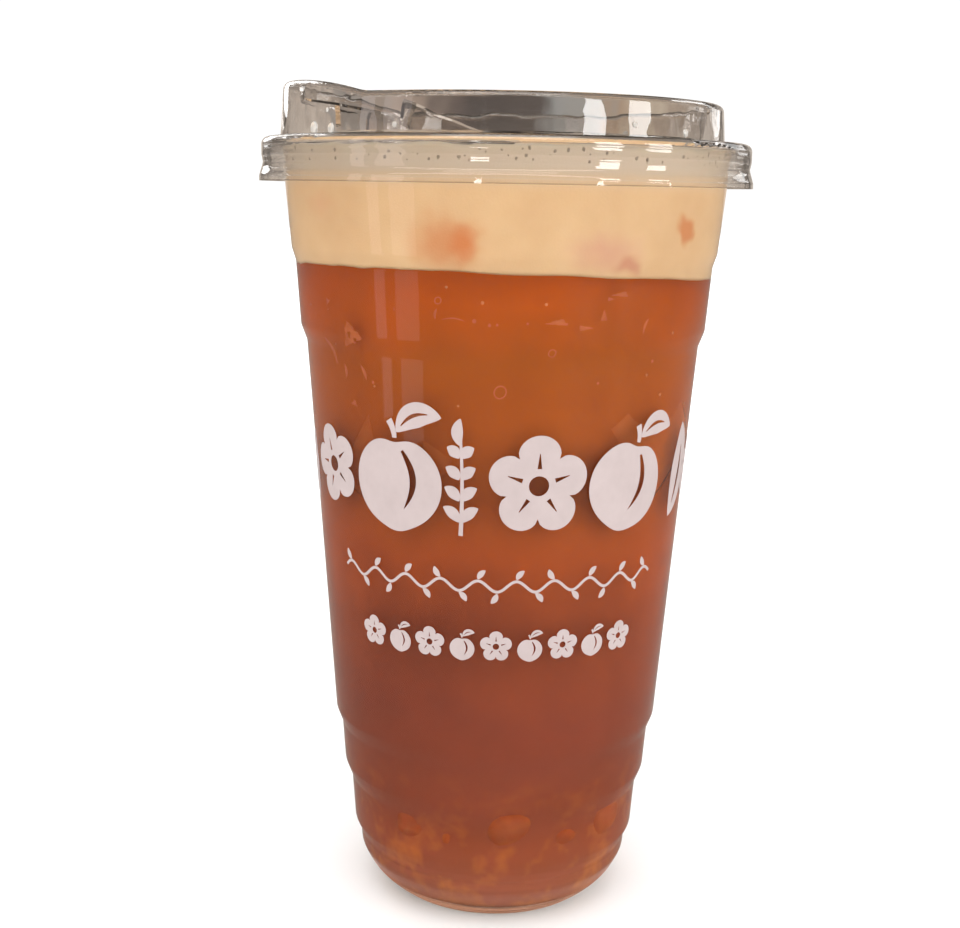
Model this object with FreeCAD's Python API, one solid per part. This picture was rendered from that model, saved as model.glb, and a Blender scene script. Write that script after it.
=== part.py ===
"""Takeaway peach tea: a clear cup with a sip lid, the tea, and the cream layer that floats on it.

Millimetres, +Z up. The origin is the centre of the foot, on the surface the cup stands on.
The spout of the lid points along -X.
"""

import FreeCAD, Part
import math
import os

V = FreeCAD.Vector
UP = V(0, 0, 1)

# Cup: overall height, sheet, and how much the side widens for each millimetre of height
CUP_HEIGHT = 156.7
CUP_WALL = 0.8
CUP_DRAFT = 0.0765

# Cup: foot, a standing ring round a raised floor, under a rounded heel
FOOT_R = 21.6
FOOT_WIDTH = 3.0
FLOOR_RISE = 2.6
FLOOR_SLOPE = 1.6
FLOOR_FILLET = 1.0
FOOT_FILLET = 1.4
HEEL_RUN = 5.0
HEEL_RISE = 3.9
HEEL_FILLET = 15.0
HEEL_TOP_RUN = 2.0
HEEL_TOP_RISE = 4.6
HEEL_TOP_FILLET = 4.0

# Cup: stacking steps, each (its lower edge's height or depth, its rise, how far it widens the cup)
STEPS_ABOVE_FOOT = (
    (11.4, 2.6, 1.25),
    (23.7, 3.6, 1.45),
    (36.0, 3.2, 1.25),
)
STEPS_BELOW_RIM = (
    (39.5, 3.2, 1.2),
    (23.5, 2.6, 0.85),
)
STEP_FILLET = 2.2
NECK_FLARE = 0.4

# Cup: rim, a flat flange with a lip turned down
RIM_WIDTH = 3.1
RIM_PLATE = 1.0
RIM_FILLET = 0.9
LIP_HEIGHT = 3.0
LIP_WALL = 0.9

# Drink
FILL_CLEARANCE = 0.05
HEAD_SPACE = 4.5
CREAM_DEPTH = 20.45
TEA_TILT_LEFT = 1.4  # degrees
TEA_TILT_FRONT = 2.1  # degrees

# Lid: sheet and skirt
LID_WALL = 0.5
RIM_CLEARANCE = 0.3
SKIRT_DROP = 8.0
SKIRT_FLARE = 0.5
SKIRT_EDGE = 1.0
WAIST_DROP = 4.4
WAIST_BITE = 0.3
WAIST_BLEND = 1.4

# Lid: raised ring, set off centre towards the spout
RING_INSET = 3.8
RING_DRAFT = 0.5
RING_SHIFT = -0.85
RING_HEIGHT = 7.4
RING_LAND = 3.6
RING_FILLET = 1.3
LAND_FILLET = 0.9
DISH_HEIGHT = 0.7

# Lid: spout, where the ring's top rises along an arc
SPOUT_RISE = 3.1
SPOUT_ARC_R = 65.0
SPOUT_BLEND_R = 10.0

# Lid: drinking trough behind the spout, and the ramp from its crest down to the dish
TROUGH_LENGTH = 20.5
TROUGH_LEDGE = 1.2
TROUGH_OUTER_DROP = 0.1
TROUGH_INNER_DROP = 3.6
TROUGH_HALF_WIDTH = 27.0
CREST_SETBACK = 0.9
CREST_HALF_WIDTH = 12.5
RAMP_LENGTH = 16.9
RAMP_FOOT_HALF_WIDTH = 10.0

# Lid: drinking slot and air hole, from the ring's inner wall
SIP_SETBACK = 8.1
SIP_WIDTH = 5.0
SIP_LENGTH = 16.0
VENT_SETBACK = 17.5
VENT_R = 0.8

REACH = 90.0  # longer than any part of the object, for tools that cut right across it
OVERRUN = 0.3  # share of the ramp that its cutting form runs on by, below the dish
TOLERANCE = 0.01


def offset_path(path, inset):
    """An open path of (across, up, fillet) corners moved to its left by inset, its arcs kept parallel."""
    moved = []
    last = len(path) - 1
    for i, (across, up, fillet) in enumerate(path):
        before = path[max(i - 1, 0)]
        after = path[min(i + 1, last)]
        arriving = V(across - before[0], up - before[1], 0)
        leaving = V(after[0] - across, after[1] - up, 0)
        if i == 0:
            arriving = leaving
        if i == last:
            leaving = arriving
        arriving = V(arriving).normalize()
        leaving = V(leaving).normalize()
        normal_in = V(-arriving.y, arriving.x, 0)
        normal_out = V(-leaving.y, leaving.x, 0)
        shift = (normal_in + normal_out) * (inset / (1 + normal_in.dot(normal_out)))
        turn = arriving.cross(leaving).z
        if fillet > 0:
            fillet = max(fillet - math.copysign(inset, turn), 0)
        moved.append((across + shift.x, up + shift.y, fillet))
    return moved


def rounded_wire(corners):
    """A closed wire in the XZ plane through (across, up, fillet) corners, each rounded by a tangent arc."""
    starts = []
    ends = []
    arcs = []
    count = len(corners)
    for i, (across, up, fillet) in enumerate(corners):
        here = V(across, 0, up)
        before = V(corners[i - 1][0], 0, corners[i - 1][1])
        after = V(corners[(i + 1) % count][0], 0, corners[(i + 1) % count][1])
        back = (before - here).normalize()
        on = (after - here).normalize()
        if fillet <= 0:
            starts.append(here)
            ends.append(here)
            arcs.append(None)
            continue
        half = back.getAngle(on) / 2
        run = fillet / math.tan(half)
        centre = here + (back + on).normalize() * (fillet / math.sin(half))
        starts.append(here + back * run)
        ends.append(here + on * run)
        arcs.append(centre + (here - centre).normalize() * fillet)
    edges = []
    for i in range(count):
        if arcs[i] is not None:
            edges.append(Part.Arc(starts[i], arcs[i], ends[i]).toShape())
        following = starts[(i + 1) % count]
        if (following - ends[i]).Length > TOLERANCE / 100:
            edges.append(Part.LineSegment(ends[i], following).toShape())
    return Part.Wire(edges)


def turned(corners):
    """The solid of revolution about Z of a closed profile of (radius, height, fillet) corners."""
    return Part.Face(rounded_wire(corners)).revolve(V(0, 0, 0), UP, 360)


def side_on(wire):
    """A slab across the whole object, along Y, whose side view is a closed wire in the XZ plane."""
    slab = Part.Face(wire).extrude(V(0, 2 * REACH, 0))
    slab.translate(V(0, -REACH, 0))
    return slab


def cup_path():
    """The cup's outer surface from the middle of the floor to the neck, under the rim."""
    ring_inner = FOOT_R - FOOT_WIDTH
    path = [
        (0, FLOOR_RISE, 0),
        (ring_inner - FLOOR_SLOPE, FLOOR_RISE, FLOOR_FILLET),
        (ring_inner, 0, FLOOR_FILLET),
        (FOOT_R, 0, FOOT_FILLET),
        (FOOT_R + HEEL_RUN, HEEL_RISE, HEEL_FILLET),
        (FOOT_R + HEEL_RUN + HEEL_TOP_RUN, HEEL_RISE + HEEL_TOP_RISE, HEEL_TOP_FILLET),
    ]
    steps = list(STEPS_ABOVE_FOOT)
    steps += [(CUP_HEIGHT - depth, rise, widening) for depth, rise, widening in STEPS_BELOW_RIM]
    for low, rise, widening in steps:
        r_below = path[-1][0] + CUP_DRAFT * (low - path[-1][1])
        path.append((r_below, low, STEP_FILLET))
        path.append((r_below + widening, low + rise, STEP_FILLET))
    neck_z = CUP_HEIGHT - RIM_PLATE
    path.append((path[-1][0] + CUP_DRAFT * (neck_z - path[-1][1]) + NECK_FLARE, neck_z, 0))
    return path


RIM_R = cup_path()[-1][0] + RIM_WIDTH
RING_R = RIM_R - RING_INSET
FLANGE_TOP = CUP_HEIGHT + LID_WALL
RING_TOP = FLANGE_TOP + RING_HEIGHT
DISH_FLOOR = FLANGE_TOP + DISH_HEIGHT
DISH_R = RING_R - RING_DRAFT - RING_LAND
CREAM_TOP = CUP_HEIGHT - HEAD_SPACE


def cup():
    """The cup: one thin wall with a foot, stacking steps and a flanged rim."""
    lip_inner = RIM_R - LIP_WALL
    rim = [
        (lip_inner, CUP_HEIGHT - RIM_PLATE, 0),
        (lip_inner, CUP_HEIGHT - LIP_HEIGHT, 0),
        (RIM_R, CUP_HEIGHT - LIP_HEIGHT, 0),
        (RIM_R, CUP_HEIGHT, RIM_FILLET),
    ]
    inner = offset_path(cup_path(), CUP_WALL)
    inner.append((inner[-1][0], CUP_HEIGHT, 0))
    return turned(cup_path() + rim + inner[::-1])


def filling():
    """Everything that fills the cup, up to the top of the cream."""
    side = offset_path(cup_path(), CUP_WALL + FILL_CLEARANCE)
    full = turned(side + [(0, side[-1][1], 0)])
    return full.common(Part.makeCylinder(REACH, CREAM_TOP))


def below_tea_line():
    """A block under the line where tea meets cream, which is higher at the left and at the front."""
    side = 2 * REACH
    block = Part.makeBox(side, side, side, V(-REACH, -REACH, -side))
    block.rotate(V(0, 0, 0), V(0, 1, 0), TEA_TILT_LEFT)
    block.rotate(V(0, 0, 0), V(1, 0, 0), -TEA_TILT_FRONT)
    block.translate(V(0, 0, CREAM_TOP - CREAM_DEPTH))
    return block


def skirt_form(inset):
    """The lid's skirt and flange as a full solid, moved inwards by inset."""
    seat_r = RIM_R + RIM_CLEARANCE + LID_WALL
    bottom = CUP_HEIGHT - SKIRT_DROP
    waist = CUP_HEIGHT - WAIST_DROP
    path = [
        (seat_r + SKIRT_FLARE, bottom, 0),
        (seat_r + SKIRT_FLARE, bottom + SKIRT_EDGE, SKIRT_EDGE / 2),
        (seat_r - WAIST_BITE, waist, WAIST_BLEND),
        (seat_r, waist + WAIST_BLEND, WAIST_BLEND),
        (seat_r, FLANGE_TOP, RIM_FILLET + LID_WALL),
        (0, FLANGE_TOP, 0),
    ]
    moved = offset_path(path, inset)
    foot = (moved[0][0], bottom - inset, 0)
    return turned([(0, bottom - inset, 0), foot] + moved[1:])


def ring_top(inset):
    """A block that fills everything under the ring's top, with the rise of the spout at -X."""
    level = RING_TOP - inset
    high = level + SPOUT_RISE
    start_x = RING_SHIFT - RING_R
    both = SPOUT_ARC_R + SPOUT_BLEND_R
    run = math.sqrt(both**2 - (both - SPOUT_RISE) ** 2)
    crest_centre = V(start_x, 0, high - SPOUT_ARC_R)
    blend_centre = V(start_x + run, 0, level + SPOUT_BLEND_R)
    across = (blend_centre - crest_centre).normalize()
    join = crest_centre + across * SPOUT_ARC_R
    crest_middle = crest_centre + (across + UP).normalize() * SPOUT_ARC_R
    blend_middle = blend_centre - (across + UP).normalize() * SPOUT_BLEND_R
    low_end = V(start_x + run, 0, level)
    high_end = V(start_x, 0, high)
    block = [V(REACH, 0, level), V(REACH, 0, -REACH), V(-REACH, 0, -REACH), V(-REACH, 0, high)]
    corners = [low_end] + block + [high_end]
    edges = [Part.LineSegment(a, b).toShape() for a, b in zip(corners, corners[1:])]
    edges.append(Part.Arc(high_end, crest_middle, join).toShape())
    edges.append(Part.Arc(join, blend_middle, low_end).toShape())
    return side_on(Part.Wire(edges))


def island_form(inset):
    """What stands in the dish: the trough behind the spout and the ramp down from its crest."""
    wall_x = RING_SHIFT - DISH_R
    trough_x = wall_x + TROUGH_LENGTH
    crest_x = trough_x + CREST_SETBACK
    end_x = crest_x + RAMP_LENGTH * (1 + OVERRUN)
    end_z = DISH_FLOOR - (RING_TOP - DISH_FLOOR) * OVERRUN
    end_half = RAMP_FOOT_HALF_WIDTH - (CREST_HALF_WIDTH - RAMP_FOOT_HALF_WIDTH) * OVERRUN
    top = [
        (-REACH, RING_TOP - TROUGH_OUTER_DROP, 0),
        (wall_x + TROUGH_LEDGE, RING_TOP - TROUGH_OUTER_DROP, 0),
        (trough_x, RING_TOP - TROUGH_INNER_DROP, 0),
        (crest_x, RING_TOP, 0),
        (end_x, end_z, 0),
    ]
    moved = offset_path(top, -inset)
    slab = side_on(rounded_wire(moved + [(moved[-1][0], 0, 0), (-REACH, 0, 0)]))
    trough_end = trough_x - inset
    half_plan = [
        V(-REACH, TROUGH_HALF_WIDTH - inset, 0),
        V(trough_end, TROUGH_HALF_WIDTH - inset, 0),
        V(trough_end, CREST_HALF_WIDTH - inset, 0),
        V(end_x, end_half - inset, 0),
    ]
    plan = half_plan + [V(p.x, -p.y, 0) for p in half_plan[::-1]]
    column = Part.Face(Part.makePolygon(plan + plan[:1])).extrude(UP * 3 * REACH)
    return slab.common(column)


def dish_form(inset):
    """The hollow inside the ring, round the trough and the ramp, grown outwards by inset."""
    floor = DISH_FLOOR - inset
    height = RING_TOP + 2 * SPOUT_RISE - floor
    foot = V(RING_SHIFT, 0, floor)
    hollow = Part.makeCone(DISH_R - RING_DRAFT + inset, DISH_R + inset, height, foot, UP)
    return hollow.cut(island_form(inset))


def rim_edges(ring, level, r_low, r_high):
    """The edges at or above a level whose middles lie between two radii from the ring's axis."""
    found = []
    for edge in ring.Edges:
        middle = edge.valueAt((edge.FirstParameter + edge.LastParameter) / 2)
        radius = math.hypot(middle.x - RING_SHIFT, middle.y)
        if edge.BoundBox.ZMin > level - TOLERANCE and r_low < radius < r_high:
            found.append(edge)
    return found


def ring_form(inset):
    """The raised ring with its dish, its top edges rounded, moved inwards by inset."""
    low = CUP_HEIGHT - RIM_PLATE
    high = RING_TOP + 2 * SPOUT_RISE
    lean = RING_DRAFT / RING_HEIGHT
    r_low = RING_R + (FLANGE_TOP - low) * lean - inset
    r_high = RING_R - (high - FLANGE_TOP) * lean - inset
    plug = Part.makeCone(r_low, r_high, high - low, V(RING_SHIFT, 0, low), UP)
    ring = plug.common(ring_top(inset)).cut(dish_form(inset))
    land_level = RING_TOP - inset
    land_middle = DISH_R + RING_LAND / 2
    outer_edges = rim_edges(ring, land_level, land_middle, RING_R)
    ring = ring.makeFillet(RING_FILLET - inset, outer_edges)
    inner_edges = rim_edges(ring, land_level, DISH_R - RING_LAND / 2, land_middle)
    return ring.makeFillet(LAND_FILLET - inset, inner_edges)


def lid_form(inset):
    """The whole lid as a full solid with its dish, moved inwards by inset."""
    return skirt_form(inset).cut(dish_form(inset)).fuse(ring_form(inset))


def sip_slot():
    """The drinking slot: a straight slot with round ends, across the trough."""
    reach = RING_HEIGHT + 2 * SPOUT_RISE
    half = (SIP_LENGTH - SIP_WIDTH) / 2
    x = RING_SHIFT - DISH_R + SIP_SETBACK
    slot = Part.makeBox(SIP_WIDTH, 2 * half, reach, V(x - SIP_WIDTH / 2, -half, CUP_HEIGHT))
    for y in (-half, half):
        slot = slot.fuse(Part.makeCylinder(SIP_WIDTH / 2, reach, V(x, y, CUP_HEIGHT), UP))
    return slot


def vent():
    """The small air hole in the dish."""
    x = RING_SHIFT + DISH_R - VENT_SETBACK
    return Part.makeCylinder(VENT_R, RING_HEIGHT, V(x, 0, CUP_HEIGHT), UP)


def lid():
    """The lid: one formed sheet with a snap-on skirt, a ring, a spout and a dish."""
    sheet = lid_form(0).cut(lid_form(LID_WALL))
    return sheet.cut(sip_slot()).cut(vent()).removeSplitter()


def main():
    """Builds each node and writes it to parts/."""
    os.makedirs("parts", exist_ok=True)
    drink = filling()
    under = below_tea_line()
    nodes = {
        "cup": cup(),
        "tea": drink.common(under),
        "cream": drink.cut(under),
        "lid": lid(),
    }
    for name, shape in nodes.items():
        solid_count = len(shape.Solids)
        print(f"{name}: {solid_count} solid, valid {shape.isValid()}, {shape.Volume / 1000:.2f} cm3")
        shape.exportStep(f"parts/{name}.step")


main()
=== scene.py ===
"""Peach tea in a clear lidded takeaway cup: the looks, the studio and the camera.

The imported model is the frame. The lid keeps its own mesh, and the cup is a copy of its own whose rim
is eased clear of the lid. The tea and the cream are made again as pieces that reach just into the
cup's wall, with ice, diced peach and bubbles in the tea, and generic fruit and blossoms are printed
round the front. Lengths are in metres and heights are above the foot, apart from flat shapes, which
are laid out in millimetres.
"""

from __future__ import annotations

import logging
import math
from collections.abc import Callable, Iterable
from dataclasses import dataclass
from enum import Enum

import bmesh
import bpy
from mathutils import Matrix, Vector, noise
from mathutils.bvhtree import BVHTree
from mathutils.geometry import tessellate_polygon

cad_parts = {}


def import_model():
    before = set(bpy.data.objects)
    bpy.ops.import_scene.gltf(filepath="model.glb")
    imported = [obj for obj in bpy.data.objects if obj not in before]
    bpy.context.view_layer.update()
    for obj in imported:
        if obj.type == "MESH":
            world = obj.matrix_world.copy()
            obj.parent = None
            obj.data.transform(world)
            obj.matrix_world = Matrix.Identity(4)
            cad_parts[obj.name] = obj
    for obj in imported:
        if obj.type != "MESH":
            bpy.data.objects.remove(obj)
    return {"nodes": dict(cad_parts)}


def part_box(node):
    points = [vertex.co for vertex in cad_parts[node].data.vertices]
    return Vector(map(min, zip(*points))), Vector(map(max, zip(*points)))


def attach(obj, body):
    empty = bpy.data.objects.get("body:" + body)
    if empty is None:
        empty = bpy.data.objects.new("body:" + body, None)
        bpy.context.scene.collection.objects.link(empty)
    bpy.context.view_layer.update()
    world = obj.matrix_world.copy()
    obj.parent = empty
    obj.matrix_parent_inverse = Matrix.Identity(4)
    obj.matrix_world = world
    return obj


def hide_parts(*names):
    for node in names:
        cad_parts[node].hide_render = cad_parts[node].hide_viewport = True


LOG = logging.getLogger("peach_tea")
MM = 0.001
ROOT = "root"

Colour = tuple[float, float, float]
Place = tuple[float, float, float]
Point = tuple[float, float]
Loop = list[Point]
Shape = list[Loop]
Stops = tuple[tuple[float, Colour], ...]
Piece = bpy.types.Object
Material = bpy.types.Material
Node = bpy.types.Node
Socket = bpy.types.NodeSocket
Tree = bpy.types.NodeTree


class Slot(Enum):
    """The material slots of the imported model."""

    CUP = "cup_plastic"
    LID = "lid_plastic"
    TEA = "tea"
    CREAM = "cream"


def linear(red: int, green: int, blue: int) -> Colour:
    """Turns a display colour into the linear colour that shaders work in.

    Args:
        red: Red from 0 to 255.
        green: Green from 0 to 255.
        blue: Blue from 0 to 255.

    Returns:
        The linear red, green and blue from 0 to 1.
    """
    return tuple(
        value / 255 / 12.92 if value <= 10 else ((value / 255 + 0.055) / 1.055) ** 2.4
        for value in (red, green, blue)
    )


def stand(name: str, data: bpy.types.ID) -> Piece:
    """Puts a mesh, a lamp or a camera in the scene, at the origin.

    Args:
        name: The piece's name.
        data: The mesh, the lamp or the camera.

    Returns:
        The piece.
    """
    piece = bpy.data.objects.new(name, data)
    bpy.context.scene.collection.objects.link(piece)
    return piece


def make_object(name: str, vertices: Iterable, faces: Iterable, smooth: bool = True) -> Piece:
    """Makes a mesh object at the origin and puts it in the scene.

    Args:
        name: The piece's name.
        vertices: Corner positions.
        faces: Tuples of corner numbers, anticlockwise from outside.
        smooth: Whether the faces are shaded smooth.

    Returns:
        The new object.
    """
    mesh = bpy.data.meshes.new(name)
    mesh.from_pydata([tuple(v) for v in vertices], [], list(faces))
    mesh.validate()
    if smooth:
        mesh.shade_smooth()
    return stand(name, mesh)


def ray_target(piece: Piece) -> BVHTree:
    """Gives a piece's faces as something that rays can be cast at."""
    mesh = piece.data
    return BVHTree.FromPolygons([v.co for v in mesh.vertices], [tuple(p.vertices) for p in mesh.polygons])


def round_points(count: int) -> list[float]:
    """Gives evenly spaced angles round a full turn."""
    return [2 * math.pi * i / count for i in range(count)]


def joined_rows(rows: int, around: int) -> list[tuple[int, ...]]:
    """Joins rings of points, listed one after the other, by quads.

    Args:
        rows: How many rings there are.
        around: How many points each has.

    Returns:
        The faces' corner numbers.
    """
    faces = []
    for base in range(0, (rows - 1) * around, around):
        for j in range(around):
            k = (j + 1) % around
            faces.append((base + j, base + k, base + around + k, base + around + j))
    return faces


def settle(piece: Piece, slot: Slot, *nodes: str) -> None:
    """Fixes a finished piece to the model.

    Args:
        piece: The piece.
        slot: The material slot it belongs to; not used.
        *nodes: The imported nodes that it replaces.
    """
    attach(piece, ROOT)
    if nodes:
        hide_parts(*nodes)
    LOG.info("%s: %d faces", piece.name, len(piece.data.polygons))


# ---------------------------------------------------------------------------------------------
# Node building
# ---------------------------------------------------------------------------------------------


class Graph:
    """A node tree with short ways to add nodes and join them."""

    COLOUR_INPUTS = (6, 7)  # where a Mix node keeps its two colours
    COLOUR_RESULT = 2
    VECTOR_INPUTS = (4, 5)
    VECTOR_RESULT = 1

    def __init__(self, tree: Tree) -> None:
        """Keeps the tree that nodes are added to."""
        self.tree = tree

    def add(self, kind: str, **settings: object) -> Node:
        """Adds a node.

        Args:
            kind: The node's type.
            **settings: Its properties, or its inputs by name with spaces as underscores. A socket
                given for an input is linked to it.

        Returns:
            The new node.
        """
        node = self.tree.nodes.new(kind)
        inputs = {}
        for key, value in settings.items():
            if hasattr(node, key):
                setattr(node, key, value)
            else:
                inputs[key.replace("_", " ")] = value
        for key, value in inputs.items():
            self.feed(node.inputs[key], value)
        return node

    def feed(self, entry: Socket, value: object) -> None:
        """Sets an input to a value, or links it where the value is a socket.

        Args:
            entry: The input.
            value: A socket, a number, a vector or a colour.
        """
        if isinstance(value, Socket):
            self.tree.links.new(value, entry)
        elif entry.type == "RGBA" and len(value) == 3:
            entry.default_value = (*value, 1.0)
        else:
            entry.default_value = value

    def place(self) -> Socket:
        """Gives the piece's own coordinates in metres."""
        coordinates = self.add("ShaderNodeTexCoord")
        return self.add("ShaderNodeMapping", Vector=coordinates.outputs["Object"]).outputs["Vector"]

    def height(self) -> Socket:
        """Gives the height above the foot in metres."""
        return self.add("ShaderNodeSeparateXYZ", Vector=self.place()).outputs["Z"]

    def remap(self, value: Socket, low: object, high: float, to_low: float = 0.0, to_high: float = 1.0,
              smooth: bool = False) -> Socket:
        """Maps a value from one range to another, held at its ends.

        Args:
            value: The socket to map.
            low: Start of the incoming range, a number or a socket.
            high: End of the incoming range.
            to_low: Result at low.
            to_high: Result at high.
            smooth: Whether the change eases in and out.

        Returns:
            The mapped value's socket.
        """
        node = self.add("ShaderNodeMapRange", Value=value, From_Min=low, From_Max=high,
                        To_Min=to_low, To_Max=to_high)
        node.interpolation_type = "SMOOTHSTEP" if smooth else "LINEAR"
        return node.outputs["Result"]

    def math(self, operation: str, first: object, second: object = 0.0) -> Socket:
        """Combines two sockets or numbers.

        Args:
            operation: What is done with them.
            first: A socket or a number.
            second: A socket or a number.

        Returns:
            The result's socket.
        """
        node = self.add("ShaderNodeMath", operation=operation)
        self.feed(node.inputs[0], first)
        self.feed(node.inputs[1], second)
        return node.outputs[0]

    def vector(self, operation: str, first: object, second: object = (0.0, 0.0, 0.0)) -> Socket:
        """Combines two sockets or vectors, or scales one.

        Args:
            operation: What is done with them.
            first: A socket or a vector.
            second: A socket or a vector, or the number to scale by.

        Returns:
            The result's socket.
        """
        node = self.add("ShaderNodeVectorMath", operation=operation)
        self.feed(node.inputs[0], first)
        self.feed(node.inputs["Scale" if operation == "SCALE" else 1], second)
        return node.outputs[0]

    def length(self, way: Socket) -> Socket:
        """Gives the length of a vector."""
        return self.add("ShaderNodeVectorMath", operation="LENGTH", Vector=way).outputs["Value"]

    def blend(self, factor: object, first: object, second: object, how: str = "MIX") -> Socket:
        """Mixes two colours.

        Args:
            factor: A socket or a number from 0 to 1.
            first: A socket or a colour.
            second: A socket or a colour.
            how: The blend type.

        Returns:
            The mixed colour's socket.
        """
        node = self.add("ShaderNodeMix", data_type="RGBA", blend_type=how, Factor=factor)
        for i, value in zip(self.COLOUR_INPUTS, (first, second)):
            self.feed(node.inputs[i], value)
        return node.outputs[self.COLOUR_RESULT]

    def between(self, factor: object, first: object, second: object) -> Socket:
        """Mixes two vectors.

        Args:
            factor: A socket or a number from 0 to 1.
            first: A socket or a vector.
            second: A socket or a vector.

        Returns:
            The mixed vector's socket.
        """
        node = self.add("ShaderNodeMix", data_type="VECTOR", Factor=factor)
        for i, value in zip(self.VECTOR_INPUTS, (first, second)):
            self.feed(node.inputs[i], value)
        return node.outputs[self.VECTOR_RESULT]

    def ramp(self, value: Socket, stops: Stops) -> Socket:
        """Turns a value into a colour.

        Args:
            value: The value's socket, from 0 to 1.
            stops: Positions, rising from 0 to 1, each with a linear colour.

        Returns:
            The colour's socket.
        """
        node = self.add("ShaderNodeValToRGB", Fac=value)
        elements = node.color_ramp.elements
        while len(elements) < len(stops):
            elements.new(1.0)
        for element, (position, colour) in zip(elements, stops):
            element.position = position
            element.color = (*colour, 1.0)
        return node.outputs[0]

    def output(self) -> Node:
        """Gives the output node of a material's graph."""
        return next(node for node in self.tree.nodes if node.type == "OUTPUT_MATERIAL")

    def group(self, tree: Tree, **values: object) -> Socket:
        """Places a shared group and returns its first output."""
        return self.add("ShaderNodeGroup", node_tree=tree, **values).outputs[0]

    def bump(self, height: Socket, distance: float, strength: float = 1.0) -> Socket:
        """Turns a height from 0 to 1 into a normal."""
        return self.add("ShaderNodeBump", Height=height, Distance=distance, Strength=strength).outputs[0]


def fresh_graph(owner: Material | bpy.types.World) -> Graph:
    """Turns on a material's or a world's nodes and empties them.

    Args:
        owner: The material or the world.

    Returns:
        Its graph.
    """
    owner.use_nodes = True
    owner.node_tree.nodes.clear()
    return Graph(owner.node_tree)


def shared_tree(name: str, kind: str, inputs: dict[str, tuple[str, object]], outputs: dict[str, str],
                build: Callable[[Graph, dict[str, Socket], Node], None]) -> Tree:
    """Gives a node group by name, and builds it the first time.

    Args:
        name: The group's name.
        kind: ShaderNodeTree or GeometryNodeTree.
        inputs: Each input's name with its socket type and its starting value.
        outputs: Each output's name with its socket type.
        build: Fills the group from its graph, the sockets of its input node, and its output node.

    Returns:
        The group.
    """
    tree = bpy.data.node_groups.get(name)
    if tree:
        return tree
    tree = bpy.data.node_groups.new(name, kind)
    for title, (socket_type, value) in inputs.items():
        socket = tree.interface.new_socket(name=title, in_out="INPUT", socket_type=f"NodeSocket{socket_type}")
        if value is not None:
            socket.default_value = value
    for title, socket_type in outputs.items():
        tree.interface.new_socket(name=title, in_out="OUTPUT", socket_type=f"NodeSocket{socket_type}")
    graph = Graph(tree)
    given = {socket.name: socket for socket in graph.add("NodeGroupInput").outputs}
    build(graph, given, graph.add("NodeGroupOutput"))
    return tree


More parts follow.
